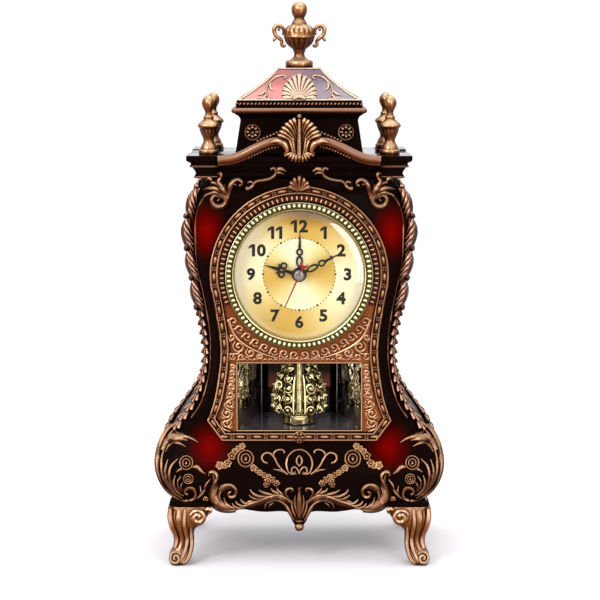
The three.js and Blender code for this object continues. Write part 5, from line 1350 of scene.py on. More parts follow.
def makeHand(name, shape, material, slot, tail=()):
    h = hands[name]
    drawn = [*bladeStrands(shape, h["root"], h["long"]), *tail]
    strands = [(line, [r * hands["bold"] for r in radii]) for line, radii in drawn]
    blade = strandsOf(name + "_blade", strands, 2, 3)
    flat = hands["thick"] / 2
    widest = max(abs(v.co.y) for v in blade.data.vertices) / mm
    turn = Matrix.Rotation(radians(h["turn"]), 4, "Y")
    place = Matrix.Translation(Vector((0, h["front"] + flat, dialHeight)) * mm)
    blade.data.transform(place @ turn @ Matrix.Scale(flat / widest, 4, (0, 1, 0)))
    edited(blade)
    bore, wide = h["bore"], h["collet"]
    profile = [(bore, flat), (wide, flat), (wide, -flat * hands["colletRise"]),
        (wide - hands["colletEdge"], -flat), (bore, -flat), (bore, flat)]
    collet = spun(name + "_collet", profile, y=h["front"] + flat, z=dialHeight, axis="Y", steps=40)
    finished(joined(name + "_hand_pierced", blade, collet), material, slot, name + "_hand", body=name,
        angle=50)


def makeCap():
    cap = spun("centre_cap", hands["cap"], y=hands["capFront"], z=dialHeight, axis="Y", steps=48)
    finished(cap, capSteel, "steel", body="second", angle=50)


makeBand()
makePanel()
makeBezel()
makeLens()
makeDial()
makeHand("alarm", pierced, handBlack, "black_metal")
makeHand("minute", pierced, handBlack, "black_metal")
makeHand("hour", trefoil, handBlack, "black_metal")
makeHand("second", needle, handRed, "red_metal", tailStrands())
makeCap()
print("face made")


# Mirrored chamber and its carousel
carousel = {
    "y": -20, "post": spots("""0 94.6, 12 94.6, 12.3 95.2, 12.3 95.9, 11.8 96.3, 11.8 100, 12.2 100.4,
        12.2 101, 11.6 101.4, 3.6 101.5, 3.1 102.4, 2.9 103.4, 2.9 138, 3.2 139.2, 3.4 140.6, 2.8 141.9,
        0 141.9"""),
    # the openwork basket: its outline, then tiers of volutes: height, number, radius
    "basket": spots("""17.6 102.4, 18.9 108, 18.6 116, 16.6 124, 13.2 131.6, 8.6 138.6, 3.4 141.4"""),
    "tiers": ((106.6, 12, 4.2), (114.2, 12, 4.3), (121.8, 11, 4.1), (129.0, 9, 3.7), (135.4, 7, 2.8)),
    # a volute: inner radius, turns, steps; the ball at its eye
    "volute": (0.8, 1.5, 10), "voluteRadii": (0.525, 0.75, 0.975), "eye": 1.3, "eyeProud": 0.5,
    # the gap at the front, and the ribs
    "gap": 4.0, "ribs": 6, "ribRadius": 0.675, "ribGap": 4 / 18, "ribEnds": ((4, 102.2), (3, 141.4)),
    # the mirrors' ground edges: x, y, radius
    "edge": (27.3, 11.6, 0.25),
}


def makeCarousel():
    c = carousel
    column = spun("carousel_column", c["post"], 0, c["y"], 0, steps=64)
    finished(column, gilt, "gilt", "carousel_post", body="carousel")
    outline = smoothLine(c["basket"])

    def reachAt(z):
        return min(outline, key=lambda spot: abs(spot[1] - z))[0]

    def onBasket(turn, reach, z):
        # turn is measured from the front, where the post shows through a gap
        return (reach * sin(turn), c["y"] - reach * cos(turn), z)

    strands, eyes = [], []
    inner, turns, steps = c["volute"]
    for level, (z, count, size) in enumerate(c["tiers"]):
        reach = reachAt(z)
        start = (c["gap"] + size) / reach
        for i in range(count):
            turn = blendAt(start, 2 * pi - start, i / (count - 1))
            way = 1 if (i + level) % 2 else -1
            scroll = spiral(0, z, size, inner, 90 * (i % 3), turns * way, steps)
            strands.append(([onBasket(turn + u / reach, reachAt(h), h) for u, h in scroll], c["voluteRadii"]))
            eyes.append(Matrix.Translation(onBasket(turn, reach + c["eyeProud"], z)))
    for i in range(c["ribs"]):
        turn = blendAt(c["ribGap"], 2 * pi - c["ribGap"], i / (c["ribs"] - 1))
        foot, top = c["ribEnds"]
        rib = [onBasket(turn, r, z) for r, z in [foot, *outline[::3], top]]
        strands.append((rib, [c["ribRadius"]] * 2))
    lace = strandsOf("basket_scrolls", strands, 1, 2)
    drops = copies("basket_eyes", beadShape(c["eye"], c["eye"], c["eye"]), eyes)
    finished(joined("carousel_openwork", lace, drops), gilt, "gilt", "carousel_scrolls", body="carousel",
        angle=60)


def makeMirrorEdges():
    # the ground edges where the side panes meet the back one
    x, y, radius = carousel["edge"]
    _, low, _, high = case["window"]
    heights = (low, (low + high) / 2, high)
    strands = [([(side * x, y, z) for z in heights], [radius, radius]) for side in (-1, 1)]
    finished(strandsOf("mirror_ground_edges", strands, 1, 2), steel, "mirror", angle=60)


makeCarousel()
makeMirrorEdges()
for side, finish in (("left", sideMirror), ("right", sideMirror), ("back", backMirror)):
    finished(nodeCopy("mirror_pane_" + side, "mirror_" + side, 0.3), finish, "mirror", "mirror_" + side)
print("chamber made")


# Cast ornament on the case: corner garlands, leaf scrolls, flowers and the feet
garland = {
    # heights where leaves end, each with a ball set across and out
    "leafEnds": (263.5, 243, 220.5, 200, 179.5), "ball": 2.2, "ballAt": (1.8, 2.8),
    # core of a leaf: step and share down, across, out
    "core": ((1, 0, 1.4, 0.4), (0, 0.35, 1.8, 0.6), (0, 0.7, 1.8, 0.6), (0, 1, 1.6, 0.4)),
    "coreRadii": (2.6, 4.7, 4.5, 2.6),
    # ridges on it, with least and most swell
    "ridges": 4, "ridgeTop": 1.5, "ridgeRoom": 6, "swell": (0.75, 1.0),
    # step down, across and its share of the swell, out and its share of the swell
    "ridge": ((0, -0.6, 0, 0, 5.2), (4.6, -2.6, 0, 0, 4.2), (9.6, 0, -4.6, 1.2, 0)),
    "ridgeRadii": (0.8, 1.6, 0.7),
    "curl": ((7, -2.4, 2.6), (2.6, -0.6, 3.6), (-0.2, 1.6, 3.8), (1.6, 3.2, 3.4)),
    "curlRadii": (0.7, 1.4, 1.6, 0.8),
    # husks: step up, share of the width, out, rise of the side lobes
    "husk": ((3.8, 0.1, 0.8, 0), (0.8, 0.7, 1.9, 0), (-3.2, 1.1, 2.2, 1.4)), "huskRadii": (0.6, 1.25, 1.5),
    "lobe": 3.1,
    "huskTop": 175.5, "huskEnd": 96.5, "husks": 13, "huskShrink": 0.12,
    # where the front and rear garlands lie
    "inset": 1.4, "slant": 38, "rearY": 37.5, "rearSink": 0.6,
    # broad husks over the hip: height, size
    "hipHusks": ((90.2, 1.3), (84.4, 1.4), (78.2, 1.4)),
}


def garlandPoint(z, across, out, rear):
    # a place on a garland: across its width and out from the case, right side
    half = halfWidthAt(z)
    if rear:
        return (half - garland["rearSink"] + out, garland["rearY"] + across, z)
    slant = radians(garland["slant"])
    x, y = half - garland["inset"], frontAt(z) + case["corner"] - garland["inset"]
    c, s = cos(slant), sin(slant)
    return (x + out * c + across * s, y - out * s + across * c, z)


def huskAt(z, size, at):
    # three lobes that open downward
    lobes = []
    for lobe in (-1, 0, 1):
        across = garland["lobe"] * lobe * size
        line = [at(z + up + lift * abs(lobe), across * wide, out) for up, wide, out, lift in garland["husk"]]
        lobes.append((line, [r * size for r in garland["huskRadii"]]))
    return lobes


def leafAt(high, low, at):
    # one leaf of a garland: core, ridges and the curl at its end
    g = garland
    tall = high - low
    strands = [([at(high - step - share * tall, across, out) for step, share, across, out in g["core"]],
        g["coreRadii"])]
    least, most = g["swell"]
    for k in range(g["ridges"]):
        top = high - g["ridgeTop"] - (tall - g["ridgeRoom"]) * k / g["ridges"]
        swell = blendAt(least, most, sin(pi * (k + 0.5) / g["ridges"]))
        line = [at(top - down, across + wider * swell, out + further * swell)
                for down, across, wider, out, further in g["ridge"]]
        strands.append((line, g["ridgeRadii"]))
    strands.append(([at(low + up, across, out) for up, across, out in g["curl"]], g["curlRadii"]))
    return strands


def makeGarlands():
    g = garland
    strands, balls = [], []
    for rear in (False, True):
        at = lambda z, across, out: garlandPoint(z, across, out, rear)
        for high, low in zip(g["leafEnds"], g["leafEnds"][1:]):
            strands += leafAt(high, low, at)
        balls += [Matrix.Translation(at(low, *g["ballAt"])) for low in g["leafEnds"]]
        for i in range(g["husks"]):
            share = i / (g["husks"] - 1)
            size = 1 - g["huskShrink"] * sin(pi * share)
            strands += huskAt(blendAt(g["huskTop"], g["huskEnd"], share), size, at)
    for z, size in g["hipHusks"]:
        strands += huskAt(z, size, lambda up, across, out: garlandPoint(up, across, out * size, True))
    leaves = strandsOf("garland_leaves", strands)
    ends = copies("garland_balls", beadShape(g["ball"], g["ball"], g["ball"], 10, 7), balls)
    piece = mirroredX(joined("corner_garlands", leaves, ends))
    finished(piece, garlandBronze, "bronze_paint", angle=60)


def onFront(points, proud):
    # on the pediment board where it covers the case, and on the case below it
    covered = lambda x, z: z > platform["boardFoot"] and abs(x) < platform["blockInner"]
    return [(x, (platform["board"][0] if covered(x, z) else skinAt(x, z)) - proud, z) for x, z in points]


# Leaf scrolls in the upper corners, right half
upperScrolls = strokes("""
    49.9 255.9, 50.4 252.4, 53.2 250.2, 56.8 250.4, 59.2 253.2, 58.6 256.6, 55.8 257.6, 54.2 255.6,
        55.6 254.2: 1.9 2 1.9 1.5 1.2 1;
    49.8 255, 52.4 260, 56.6 262.4, 61.2 262.4, 65.2 261.4: 1.6 2 1.8 1.2 0.5;
    50.2 254, 53.6 258.2, 57.6 260, 61.4 259.2: 1 1.5 1.3 0.4;
    49.6 256.5, 52.4 263, 56 265.8, 59.6 266.6: 1 1.6 1.3 0.9;
    49.4 254.5, 50.2 260, 53.2 264.4, 54.8 267.6, 53.2 270.2, 53.2 272.8, 55 272.8:
        1.5 1.8 1.6 1.2 0.9 1 0.9;
    48.9 256.5, 49.2 261.5, 51 265.4: 0.8 1.2 0.4;
    49.2 254.4, 48.2 259.6, 46.6 264.8, 43.4 268.2, 40 268, 39 265.8, 40.6 264.6: 1.4 1.5 1.5 1.3 1.1 0.8;
    46.8 264.4, 44.4 265.8, 42.4 265: 0.6 1 0.4;
    63.4 267.4, 61.2 269.4, 59.4 267.6: 0.6 1.5 0.8;
    57.6 258.8, 62.2 258.6, 66.6 253.4, 69.9 246, 71.1 231.5, 69.9 208, 66.1 190, 63.4 175.5, 61.8 164,
        61.3 149.5, 62.1 137, 65 123, 69 111.5, 75 102.5: 0.8 0.75 0.75;
    36.2 262.6, 33.7 262.8, 31.6 264.6, 29.4 267.2, 24.3 268.2, 18.8 269.8, 16 272.7, 17 276.2,
        19.4 275.6: 1.4 1.1 1 1.1 1.2 1;
    16.4 274.4, 12.9 276, 9.2 274.4: 0.7 1.5 0.5;
    16.6 272.4, 13.9 273.6, 10.6 272.6: 0.6 1.1 0.3;
    31 265.4, 32.8 267.2, 35 266.6: 0.6 0.9 0.4""")
upperBeds = strokes("""
    50 254.5, 52.5 259.6, 56.5 261.6, 60.5 261.2: 2.4 3.8 3.8 2.2""")

# Scrolls over the belly, right half
bellyScrolls = strokes(
    # the great outer scroll with the leaves inside it
    """
    87.5 95.6, 91.6 91.9, 95.6 85.7, 98.4 77.8, 99.2 70.4, 97.8 62.3, 94.7 54.8, 89.9 48.9, 84.4 45.8,
        78.9 45.1, 74.6 46.3, 72.1 49.6, 72.5 53.6, 74.9 55.4, 78.1 54.7, 79.5 52.2, 77.6 50.6:
        1.1 1.5 1.5 1.4 1.4 1.3 1.1;
    86.4 93.6, 89.6 90.2, 92.8 84.8, 94.6 79.4: 0.6 1.3 1.5 0.7;
    93.4 82.7, 95.4 76.2, 95.8 69.6, 94.6 62.4, 91.2 55.6, 86.6 50, 81.4 47.6: 0.5 1.3 1.5 1.2 0.5;
    91.2 74.4, 92.8 68.2, 92.6 63.8, 90.6 58, 87 52.4, 82.6 49.2: 0.4 1.3 1.4 1.1 0.5;
    84.2 75.4, 88.4 71.1, 90 65.3, 89.4 60.2, 86.8 54.3, 83.6 51.1: 0.4 1.2 1.3 1 0.5;
    85.8 64.4, 87 59.5, 86 55.1, 83.4 51.2, 80.4 49.4: 0.4 1 1.1 0.9 0.4;
    81.8 63.8, 84.2 60.2, 84 55.8, 82 52.6: 0.4 0.9 1 0.4;
    80.6 59.6, 82.2 56.2, 81 53.4: 0.3 0.8 0.3;
    95.4 79.4, 93 83.6, 89 87, 84 89.2, 78.4 89.6, 73.9 88.1, 70.4 86: 0.6 1.6 2 1.9 1.5 1 0.3;
    93.4 78.4, 91 82, 87.6 84.5, 83.4 85.2, 78.9 83.3: 0.4 1.3 1.4 1.1 0.3;
    87.6 95, 84.6 90.9, 80.5 91.7: 0.8 1.2 0.3;
    74.8 69.8, 70.9 70, 67.7 67.1, 64.9 65.4: 0.6 1.9 1.3 0.3;
    85.2 66.7, 82.2 68.5, 79.7 69.1: 0.3 1.1 0.5""",
    # the spray and the upright scroll beside it
    """
    73.2 46.3, 69 49.2, 66.1 52.9, 64.8 56.2: 0.8 1.3 1 0.3;
    70.4 48.1, 68.2 52.2, 68.9 56.9: 0.5 1.1 0.3;
    66.1 52.2, 64.8 57.3, 61.8 61.5: 0.5 1.1 0.4;
    62.6 64.2, 61.7 66.4, 58.9 66.4, 57.1 64.2, 57.9 60.2, 60.3 55.1, 61.3 49.2, 59.8 43.6, 54.9 39.8,
        48.4 38.4, 43.4 38.8: 0.8 1.6 1.7 1.5 1.6 1.4 1.1 0.5;
    56.5 56.4, 58.4 51.4, 58 46, 54 41.6, 48.8 39.2: 0.4 1.4 1.6 1.3 0.5;
    54 53.6, 55.6 49.2, 53.8 44.6, 49.4 40.6, 44.9 39: 0.4 1.2 1.4 1.1 0.4;
    52.4 48.4, 51.3 44, 47.6 41, 43.5 39.8: 0.4 1.2 1.2 0.5;
    55.5 54.3, 52.6 56.7, 48.4 57.3, 44.8 55.1, 43.8 51.8, 45.6 48.9, 48.4 48.9, 49.1 51.4, 47.3 52.6:
        0.7 1.6 1.8 1.6 1.3 1.1""",
    # the long acanthus leaf that runs to the pendant
    """
    4.8 43.4, 10.1 47.8, 15.8 49.8, 22.2 48, 28.6 45.2, 35 43, 39.9 41, 43.5 39.2:
        1 1.8 2.2 1.9 1.6 1.3 0.6;
    20.1 49.2, 27.1 48.9, 32.1 51.1, 34.2 54.3: 1 1.6 1.3 0.6;
    22.2 47.8, 28.6 46.9, 32.8 48.1, 35.1 50: 1 1.5 1.2 0.6;
    16.5 50, 22.2 50.9, 25.7 52.2, 28.2 53.8: 1 1.5 1.1 0.4;
    12.3 48.9, 15.8 51.8, 18.3 53, 19.7 55.2: 1 1.5 1.2 0.4;
    9.4 47, 12 50.7, 14.8 53.6, 15.6 56.2: 0.8 1.3 1 0.3;
    32.8 43.2, 37.1 43.4, 39.6 44.8, 41 46.9: 0.8 1.4 1.2 0.5;
    35.7 41.6, 40.6 42, 43.2 43.4, 44.2 45.4: 0.8 1.3 1.1 0.5;
    38.5 40, 43.2 40.6, 45.6 41.8, 46.6 43.8: 0.8 1.2 1 0.5;
    24 40.2, 23.3 43, 20.1 45.2, 15.1 45.9, 10.9 43.8, 7.6 39.4, 5.4 34.6, 3.4 31.3:
        0.4 1 1.3 1.6 1.7 1.3 0.6;
    21.1 40.5, 20.1 42.7, 17.6 44.1: 0.3 0.9 0.3;
    5.5 44.1, 8.4 48.5, 9.4 52.5, 8 54.7, 5.2 54.9, 4.5 53.5, 5.9 52.9: 0.8 1.2 1.2 1 0.8 0.7""",
    # the cartouche in the middle and the leaves of the pendant
    """
    22.1 72.5, 24.9 73.6, 26 76.5, 23.9 78.9, 20.7 79.1, 17.5 76.5, 14.7 71.5, 11.5 67.8, 8 65.1:
        0.8 1.1 1 1 1.1 0.8;
    17.7 76.2, 17.5 79.1, 14.3 81.1, 10.8 80.4, 10.5 79.1: 0.6 0.9 0.9 0.8 0.8;
    17.9 68.5, 12.9 67.6, 8.7 65.3: 0.3 1 0.6;
    2 65.4, 6.2 65.6, 8.8 69.6, 9 74, 6.6 78.3, 2.6 80.9, 0 81.3: 0.8 1 1 0.9;
    0 65.6, 1.6 68.9, 3.8 70, 5.3 68.2, 4.3 66, 2.7 66.9: 0.7 0.9 0.9 0.7;
    0.1 77.6, 1.9 74.7, 1.4 72.2, 0 70.6: 0.5 1 0.9 0.6;
    2.6 50, 3 44.1, 2 38.3, 1 33.9: 0.4 1.4 1.3 0.5;
    5.2 46.3, 5 40.5, 3.2 35.3, 1.6 32.2: 0.4 1.2 1.1 0.4""",
)

# Low swells under the ridges of the broad leaves, right half
bellyBeds = strokes("""
    88.4 94.8, 92.4 90.4, 95.7 84.6, 97.9 77.4, 98.6 70, 97.3 62.4, 94.2 55.2, 89.2 49.2, 84 46.6:
        2.2 3 3.3 3.3 3.2 3 2.6;
    95 78, 92 83, 88 86, 83 87.4, 77 87.4: 3.2 4.4 4.4 3.4;
    59.8 65, 58.6 60, 59.6 54, 59.2 48, 56.4 43.4, 50.6 40.4, 44 39.4: 3 3.4 4.4 5.6 5.6 4.6 3.2;
    56 52, 53 55.4, 49 56.2, 45.8 54.4: 3.2 4.2 4 3;
    6 43.6, 11 47.2, 16 48.8, 22 47.6, 28.6 45, 35 43, 40 41.4: 3.4 4.6 5 4.8 4.4 4.2 3.2;
    20 48.6, 26 48.4, 31 50: 3.6 4.2 3""")
# how proud scrolls lie, how deep their beds, and how radii swell
scrollLay = {"proud": 0.4, "upperSink": 2.2, "upperSwell": 1.2, "bellySink": 2.7, "bellySwell": 0.95}

# Flowers on the belly: x, z, radius, petals; without petals a ring within a ring
flowers = spots("""78.3 72.9 4.8 0, 76.8 62 3.6 0, 39.6 83.6 2.7 5, 42.4 82.1 2.4 5, 44.7 80.2 2.6 5,
    46.8 77.3 3.2 5, 49.5 72.5 3.2 5, 51.6 71.1 2.4 5, 55.1 71.1 3.4 5, 37.1 75.6 5.7 0, 31.7 69.5 2.6 5,
    29.2 67.8 2.2 5, 27.1 66.4 2.3 5, 24.3 64.5 2.4 5, 21.1 63.5 2.3 5, 21.8 60.2 3.1 5, 18.6 61.3 2.7 5,
    15.8 58.7 2.7 5, 22.9 57.6 2.3 5, 65.1 47 2.2 5""")
# a small flower is a lobed rim about an eye
smallFlower = {"steps": 20, "rim": 0.62, "wave": 0.12, "thick": 0.29, "eye": 0.34, "eyeProud": 0.3,
    "proud": 0.7}
# pendant: height and radius; turnings: height, radius, half height
centrePiece = {
    "pendant": ((56, 1.6), (52, 1.2), (46, 2.2), (39, 2.4), (34, 1.7), (31.4, 1.0)), "front": -51.5,
    "proud": 0.8,
    "turnings": ((31.0, 3.6, 1.1), (26.6, 3.5, 3.325)), "turningY": -51.6,
    "profile": ((0, -1), (0.7, -0.72), (1, 0), (0.7, 0.72), (0, 1)),
}


def makeUpperScrolls():
    strands = [(onFront(line, scrollLay["proud"]), [r * scrollLay["upperSwell"] for r in radii])
        for line, radii in upperScrolls]
    strands += [(onFront(line, -scrollLay["upperSink"]), radii) for line, radii in upperBeds]
    piece = mirroredX(strandsOf("corner_leaf_scrolls", strands, 1, 4))
    finished(piece, bronze, "bronze_paint", angle=60)


def onBelly(points, proud):
    # on the case, and below its edge on the apron
    hung = lambda x, z: z < apron["lift"] and abs(x) < apron["half"]
    return [(x, (min(skinAt(x, z), apron["front"]) if hung(x, z) else skinAt(x, z)) - proud, z)
        for x, z in points]


def makeBellyScrolls():
    strands = [(onBelly(line, scrollLay["proud"]), [r * scrollLay["bellySwell"] for r in radii])
        for line, radii in bellyScrolls]
    strands += [(onBelly(line, -scrollLay["bellySink"]), radii) for line, radii in bellyBeds]
    half = mirroredX(strandsOf("belly_half", strands, 1, 4))
    c = centrePiece
    drop = [(0, min(skinAt(0, z), c["front"]) - c["proud"], z) for z, _ in c["pendant"]]
    stem = strandsOf("pendant_leaf", [(drop, [r for _, r in c["pendant"]])], 2, 4)
    turned = []
    for z, radius, tall in c["turnings"]:
        profile = [(radius * r, tall * h) for r, h in c["profile"]]
        turned.append(spun("pendant_turning", profile, 0, c["turningY"], z, steps=20))
    finished(joined("belly_scrolls", half, stem, *turned), bronze, "bronze_paint", angle=60)


def makeFlowers():
    s = smallFlower
    onSkin = lambda x, z, out: (x, skinAt(x, z) - s["proud"] - out, z)
    strands, eyes = [], []
    for x, z, radius, petals in flowers:
        if petals == 0:
            strands += rosetteAt(x, z, radius, onSkin, petals=0)
            continue
        rim = []
        for i in range(s["steps"] + 1):
            a = 2 * pi * i / s["steps"]
            reach = radius * (s["rim"] + s["wave"] * cos(petals * a))
            rim.append(onSkin(*roundAt(x, z, reach, a + x), 0))
        strands.append((rim, [s["thick"] * radius] * 2))
        eyes.append(Matrix.Translation(onSkin(x, z, s["eyeProud"])) @ Matrix.Scale(s["eye"] * radius, 4))
    rings = strandsOf("ringed_flowers", strands)
    blossoms = copies("blossoms", beadShape(1, 1, 1), eyes)
    finished(mirroredX(joined("belly_flowers", rings, blossoms)), flowerBronze, "bronze_paint", angle=60)


# Apron: the scalloped plate under the front, edge from right to middle
apron = {
    "half": 58, "lift": 46, "front": -52.4, "back": -49, "bevel": 0.4,
    "edge": ((58, 43), (43.5, 40.2), (26, 37.5), (9, 37.5), (5, 31), (2.6, 27.5), (0, 26)),
}


def makeApron():
    a = apron
    right = [(a["half"], a["lift"]), *smoothLine(a["edge"], 5)]
    outline = right + [(-x, z) for x, z in reversed(right[:-1])]
    skirt = plateOf("scalloped_apron", outline, a["front"], a["back"], a["bevel"])
    finished(skirt, lacquer, "lacquer", angle=30)


# Plinth blocks: the short lacquered step between the case and each foot
plinth = {
    "inner": 61.5, "outer": 90.8, "front": -56.4, "rear": -35, "square": 0.4,
    # height and how far it is drawn in
    "levels": ((41.4, 0.3), (42.0, 0), (44.2, 0.2), (45.0, 1.0)),
}


def makePlinths():
    p = plinth
    blocks = []
    for corner in footShape["places"]:
        rows = [squareRound(p["inner"] + i, p["outer"] - i, p["front"] + i, p["rear"] - i, z, p["square"])
                for z, i in p["levels"]]
        blocks.append(lofted("plinth_block", [[atCorner(corner, q) for q in row] for row in rows]))
    finished(joined("corner_plinths", *blocks), lacquer, "lacquer")


# Scroll feet: a cabriole block with a volute, leaves down the knee, a curled toe
footShape = {
    # height, inner and outer edge, front and rear face
    "rows": spots("""0 80.5 88.8 -56.8 -45, 1.2 78.4 90.2 -58.1 -43.6, 3 76.9 90.8 -58.5 -43,
        6 75.8 91 -58 -43, 9 74.8 90.2 -56.6 -42.6, 12 74.2 88.2 -55 -42, 15 73.8 87 -54.2 -41.6,
        18.5 73.7 87 -54 -41, 22 73.6 87.8 -54.6 -40.4, 25.4 72.2 88.8 -55.6 -39.4,
        28.7 68.8 89.8 -56.6 -38, 32 65.6 90.6 -57.2 -36.8, 35 63.2 90.8 -57.5 -35.8,
        38 61.6 91 -57.6 -34.9, 42 61.6 91 -57.4 -34.5"""),
    # side, and whether behind; a rear foot is a front one mirrored
    "places": {"front_left": (-1, False), "front_right": (1, False), "rear_left": (-1, True),
        "rear_right": (1, True)},
    "rearMirror": -10.5,
    # scrolls: centre, outer and inner radius, start, turns, steps
    "roll": ((0, -57.9), (4.9, -57.9), (5.7, -57.2), (5.7, -35.8), (4.9, -35), (0, -35)),
    "volute": (70.4, 34.8, 5.3, 1.3, 20, 1.35, 16), "voluteFront": -57.6, "voluteRadii": (1.4, 1.6, 1.6, 1.9),
    "toe": (86.2, 5.6, 4.4, 0.8, 150, -1.6, 12), "toeSink": 0.2, "toeRadii": (0.8, 1.3, 1.3, 1.2),
    # strands down the front, from shoulder to toe
    "sink": 0.8, "swell": 1.15,
    "flow": strokes("""
        89.3 41.1, 89.4 34.9, 88.1 28.3, 85.9 21.7, 85.4 16.6, 86.8 11.8: 1.2 2 2.1 1.8 1.7 1.2;
        83 40.7, 83.4 34.9, 83.1 28.3, 82.1 21.7, 82 15.8, 83.5 10.7, 84.4 7: 1 2 2.1 1.8 1.6 1.3 0.8;
        79.1 41, 79.9 30.5, 78.9 23.9, 78.1 18, 79 12.1, 81 7, 83 3.3: 1.2 1.8 2 1.8 1.7 1.5 1;
        75.3 27.6, 75.5 21.7, 75.2 15.8, 76 9.9, 78 4.8, 81 1.8: 0.7 1.5 1.6 1.5 1.3 0.9;
        86.4 39.3, 86.3 32, 84.8 25.4, 83.9 19.5: 0.6 1.2 1.1 0.4;
        65.3 40, 63 40.6, 61.6 39.6, 62.6 37.6: 1 1.5 1.3 0.6"""),
    # strands down the outer side
    "side": (
        ((90.4, -51.5, 41), (90.6, -51, 33), (89, -50, 26), (86.6, -49, 19), (87, -49.4, 12),
            (89.2, -50.4, 7), (88.6, -51, 3)),
        ((90.4, -44, 41), (90.4, -44, 33), (88.6, -45, 26), (86.4, -45.6, 19), (86.8, -46, 12),
            (89, -46.6, 7), (88.4, -47, 3)),
        ((90, -38, 41), (89.6, -39, 33), (87.6, -41, 26), (85.4, -42.6, 19)),
    ),
    "sideRadii": (1.2, 1.9, 1.7, 1.5, 0.9),
}


def footFront(z):
    # depth of the foot's front face at a height
    rows = footShape["rows"]
    for low, high in zip(rows, rows[1:]):
        if z <= high[0]:
            return blendAt(low[3], high[3], (z - low[0]) / (high[0] - low[0]))
    return rows[-1][3]


def atCorner(corner, point):
    # a point of the right front corner, carried to another
    side, behind = footShape["places"][corner]
    x, y, z = point
    return (side * x, footShape["rearMirror"] - y if behind else y, z)


def squareRound(inner, outer, front, rear, z, power=0.5, count=28):
    # a level ring between a box and an ellipse
    ring = []
    for i in range(count):
        a = 2 * pi * i / count
        c, s = cos(a), sin(a)
        x = copysign(abs(c) ** power, c) * (outer - inner) / 2 + (outer + inner) / 2
        y = copysign(abs(s) ** power, s) * (rear - front) / 2 + (rear + front) / 2
        ring.append((x, y, z))
    return ring


def makeFoot(corner):
    f = footShape
    carried = lambda points: [atCorner(corner, p) for p in points]
    rows = [squareRound(*sides, z) for z, *sides in smoothLine(f["rows"], 3)]
    leg = lofted("foot_leg", [carried(row) for row in rows])
    x, z = f["volute"][:2]
    roll = spun("foot_roll", f["roll"], x, 0, z, "Y", 32)
    side, behind = f["places"][corner]
    turned = Matrix.Diagonal((side, -1 if behind else 1, 1, 1))
    roll.data.transform(Matrix.Translation((0, f["rearMirror"] * mm if behind else 0, 0)) @ turned)
    strands = [(carried(onFace(spiral(*f["volute"]), f["voluteFront"])), f["voluteRadii"])]
    onFoot = lambda line, sink: carried((px, footFront(pz) + sink, pz) for px, pz in line)
    strands.append((onFoot(spiral(*f["toe"]), f["toeSink"]), f["toeRadii"]))
    strands += [(onFoot(line, f["sink"]), [r * f["swell"] for r in radii]) for line, radii in f["flow"]]
    strands += [(carried(line), f["sideRadii"]) for line in f["side"]]
    ornament = strandsOf("foot_leaves", strands, 1, 4)
    piece = edited(joined("scroll_foot_" + corner, leg, roll, ornament))
    finished(piece, footBronze, "bronze_paint", "foot_" + corner, angle=50)


makeGarlands()
makeUpperScrolls()
makeBellyScrolls()
makeFlowers()
makeApron()
makePlinths()
for corner in footShape["places"]:
    makeFoot(corner)
print("ornament and feet made")


# Back: panel, screws, battery door, knobs and switch
back = {
    "face": 46.0, "screws": ((-52, 252), (52, 252), (-50, 160), (50, 160), (-74, 62), (74, 62)),
    "screwHead": ((0, 1.3), (1.4, 1.25), (2.4, 0.9), (3.0, 0.0), (3.0, -0.4), (0, -0.4)),
    # slots: half length and half width
    "slots": ((1.7, 0.25), (0.25, 1.7)), "slotDepth": (0.5, 3),
    "knobs": {"time_knob": "time_setting", "alarm_knob": "alarm_setting"}, "knobEdge": 0.25,
    # ribs round a knob
    "ribs": 24, "ribRadius": 5.85, "ribY": 53.4, "rib": (0.5, 4.2, 0.5), "edge": 0.3,
}


def makeScrews():
    b = back
    bottom, top = (b["face"] + step for step in b["slotDepth"])
    screws = []
    for x, z in b["screws"]:
        head = spun("screw_head", b["screwHead"], x, b["face"], z, "Y", 24)
        for long, wide in b["slots"]:
            cutBy(head, plateOf("slot", rectangle(x - long, z - wide, x + long, z + wide), bottom, top))
        screws.append(head)
    finished(joined("back_screws", *screws), steel, "steel", angle=30)


def makeKnob(node, body):
    b = back
    low, high = [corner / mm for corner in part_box(node)]
    grip = nodeCopy(node + "_grip", node, b["knobEdge"])
    middle = ((low.x + high.x) / 2, (low.z + high.z) / 2)
    rim = [roundAt(*middle, b["ribRadius"], 2 * pi * i / b["ribs"]) for i in range(b["ribs"])]
    places = [Matrix.Translation((x, b["ribY"], z)) for x, z in rim]
    ribs = copies(node + "_ribs", beadShape(*b["rib"], 6, 5), places)
    finished(joined(node + "_grip", grip, ribs), blackPlastic, "black_plastic", node, body=body)


for node, body in back["knobs"].items():
    makeKnob(node, body)
for node, body, finish, slot in (("back_panel", "case", blackPlastic, "black_plastic"),
                                 ("battery_door", "battery_cover", blackPlastic, "black_plastic"),
                                 ("alarm_switch", "alarm_slide", whitePlastic, "white_plastic")):
    finished(nodeCopy(node + "_moulding", node, back["edge"]), finish, slot, node, body=body, angle=30)
makeScrews()
print("back made")


# Inner and plain nodes that keep their own shape: a procedural finish for each
plainNodes = {
    blackPlastic: ("base_plate", "movement_rear_cover", "buzzer"),
    polishedBlack: ("chamber_ceiling",),
    smokedFloor: ("chamber_floor",),
    whitePlastic: ("carousel_gear", "movement_front_plate", "intermediate_wheel", "third_wheel",
        "motion_wheel", "hour_wheel", "alarm_wheel"),
    brass: ("motor_pinion", "second_wheel", "minute_wheel"),
    steel: ("carousel_motor", "stator", "rotor", "battery_upper", "battery_lower", "contact_strip_left",
            "contact_strip_right"),
    copperWire: ("coil",),
    circuitGreen: ("circuit_board",),
    glass: ("window_glass",),
}
for material, nodes in plainNodes.items():
    for node in nodes:
        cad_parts[node].data.materials.clear()
        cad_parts[node].data.materials.append(material)

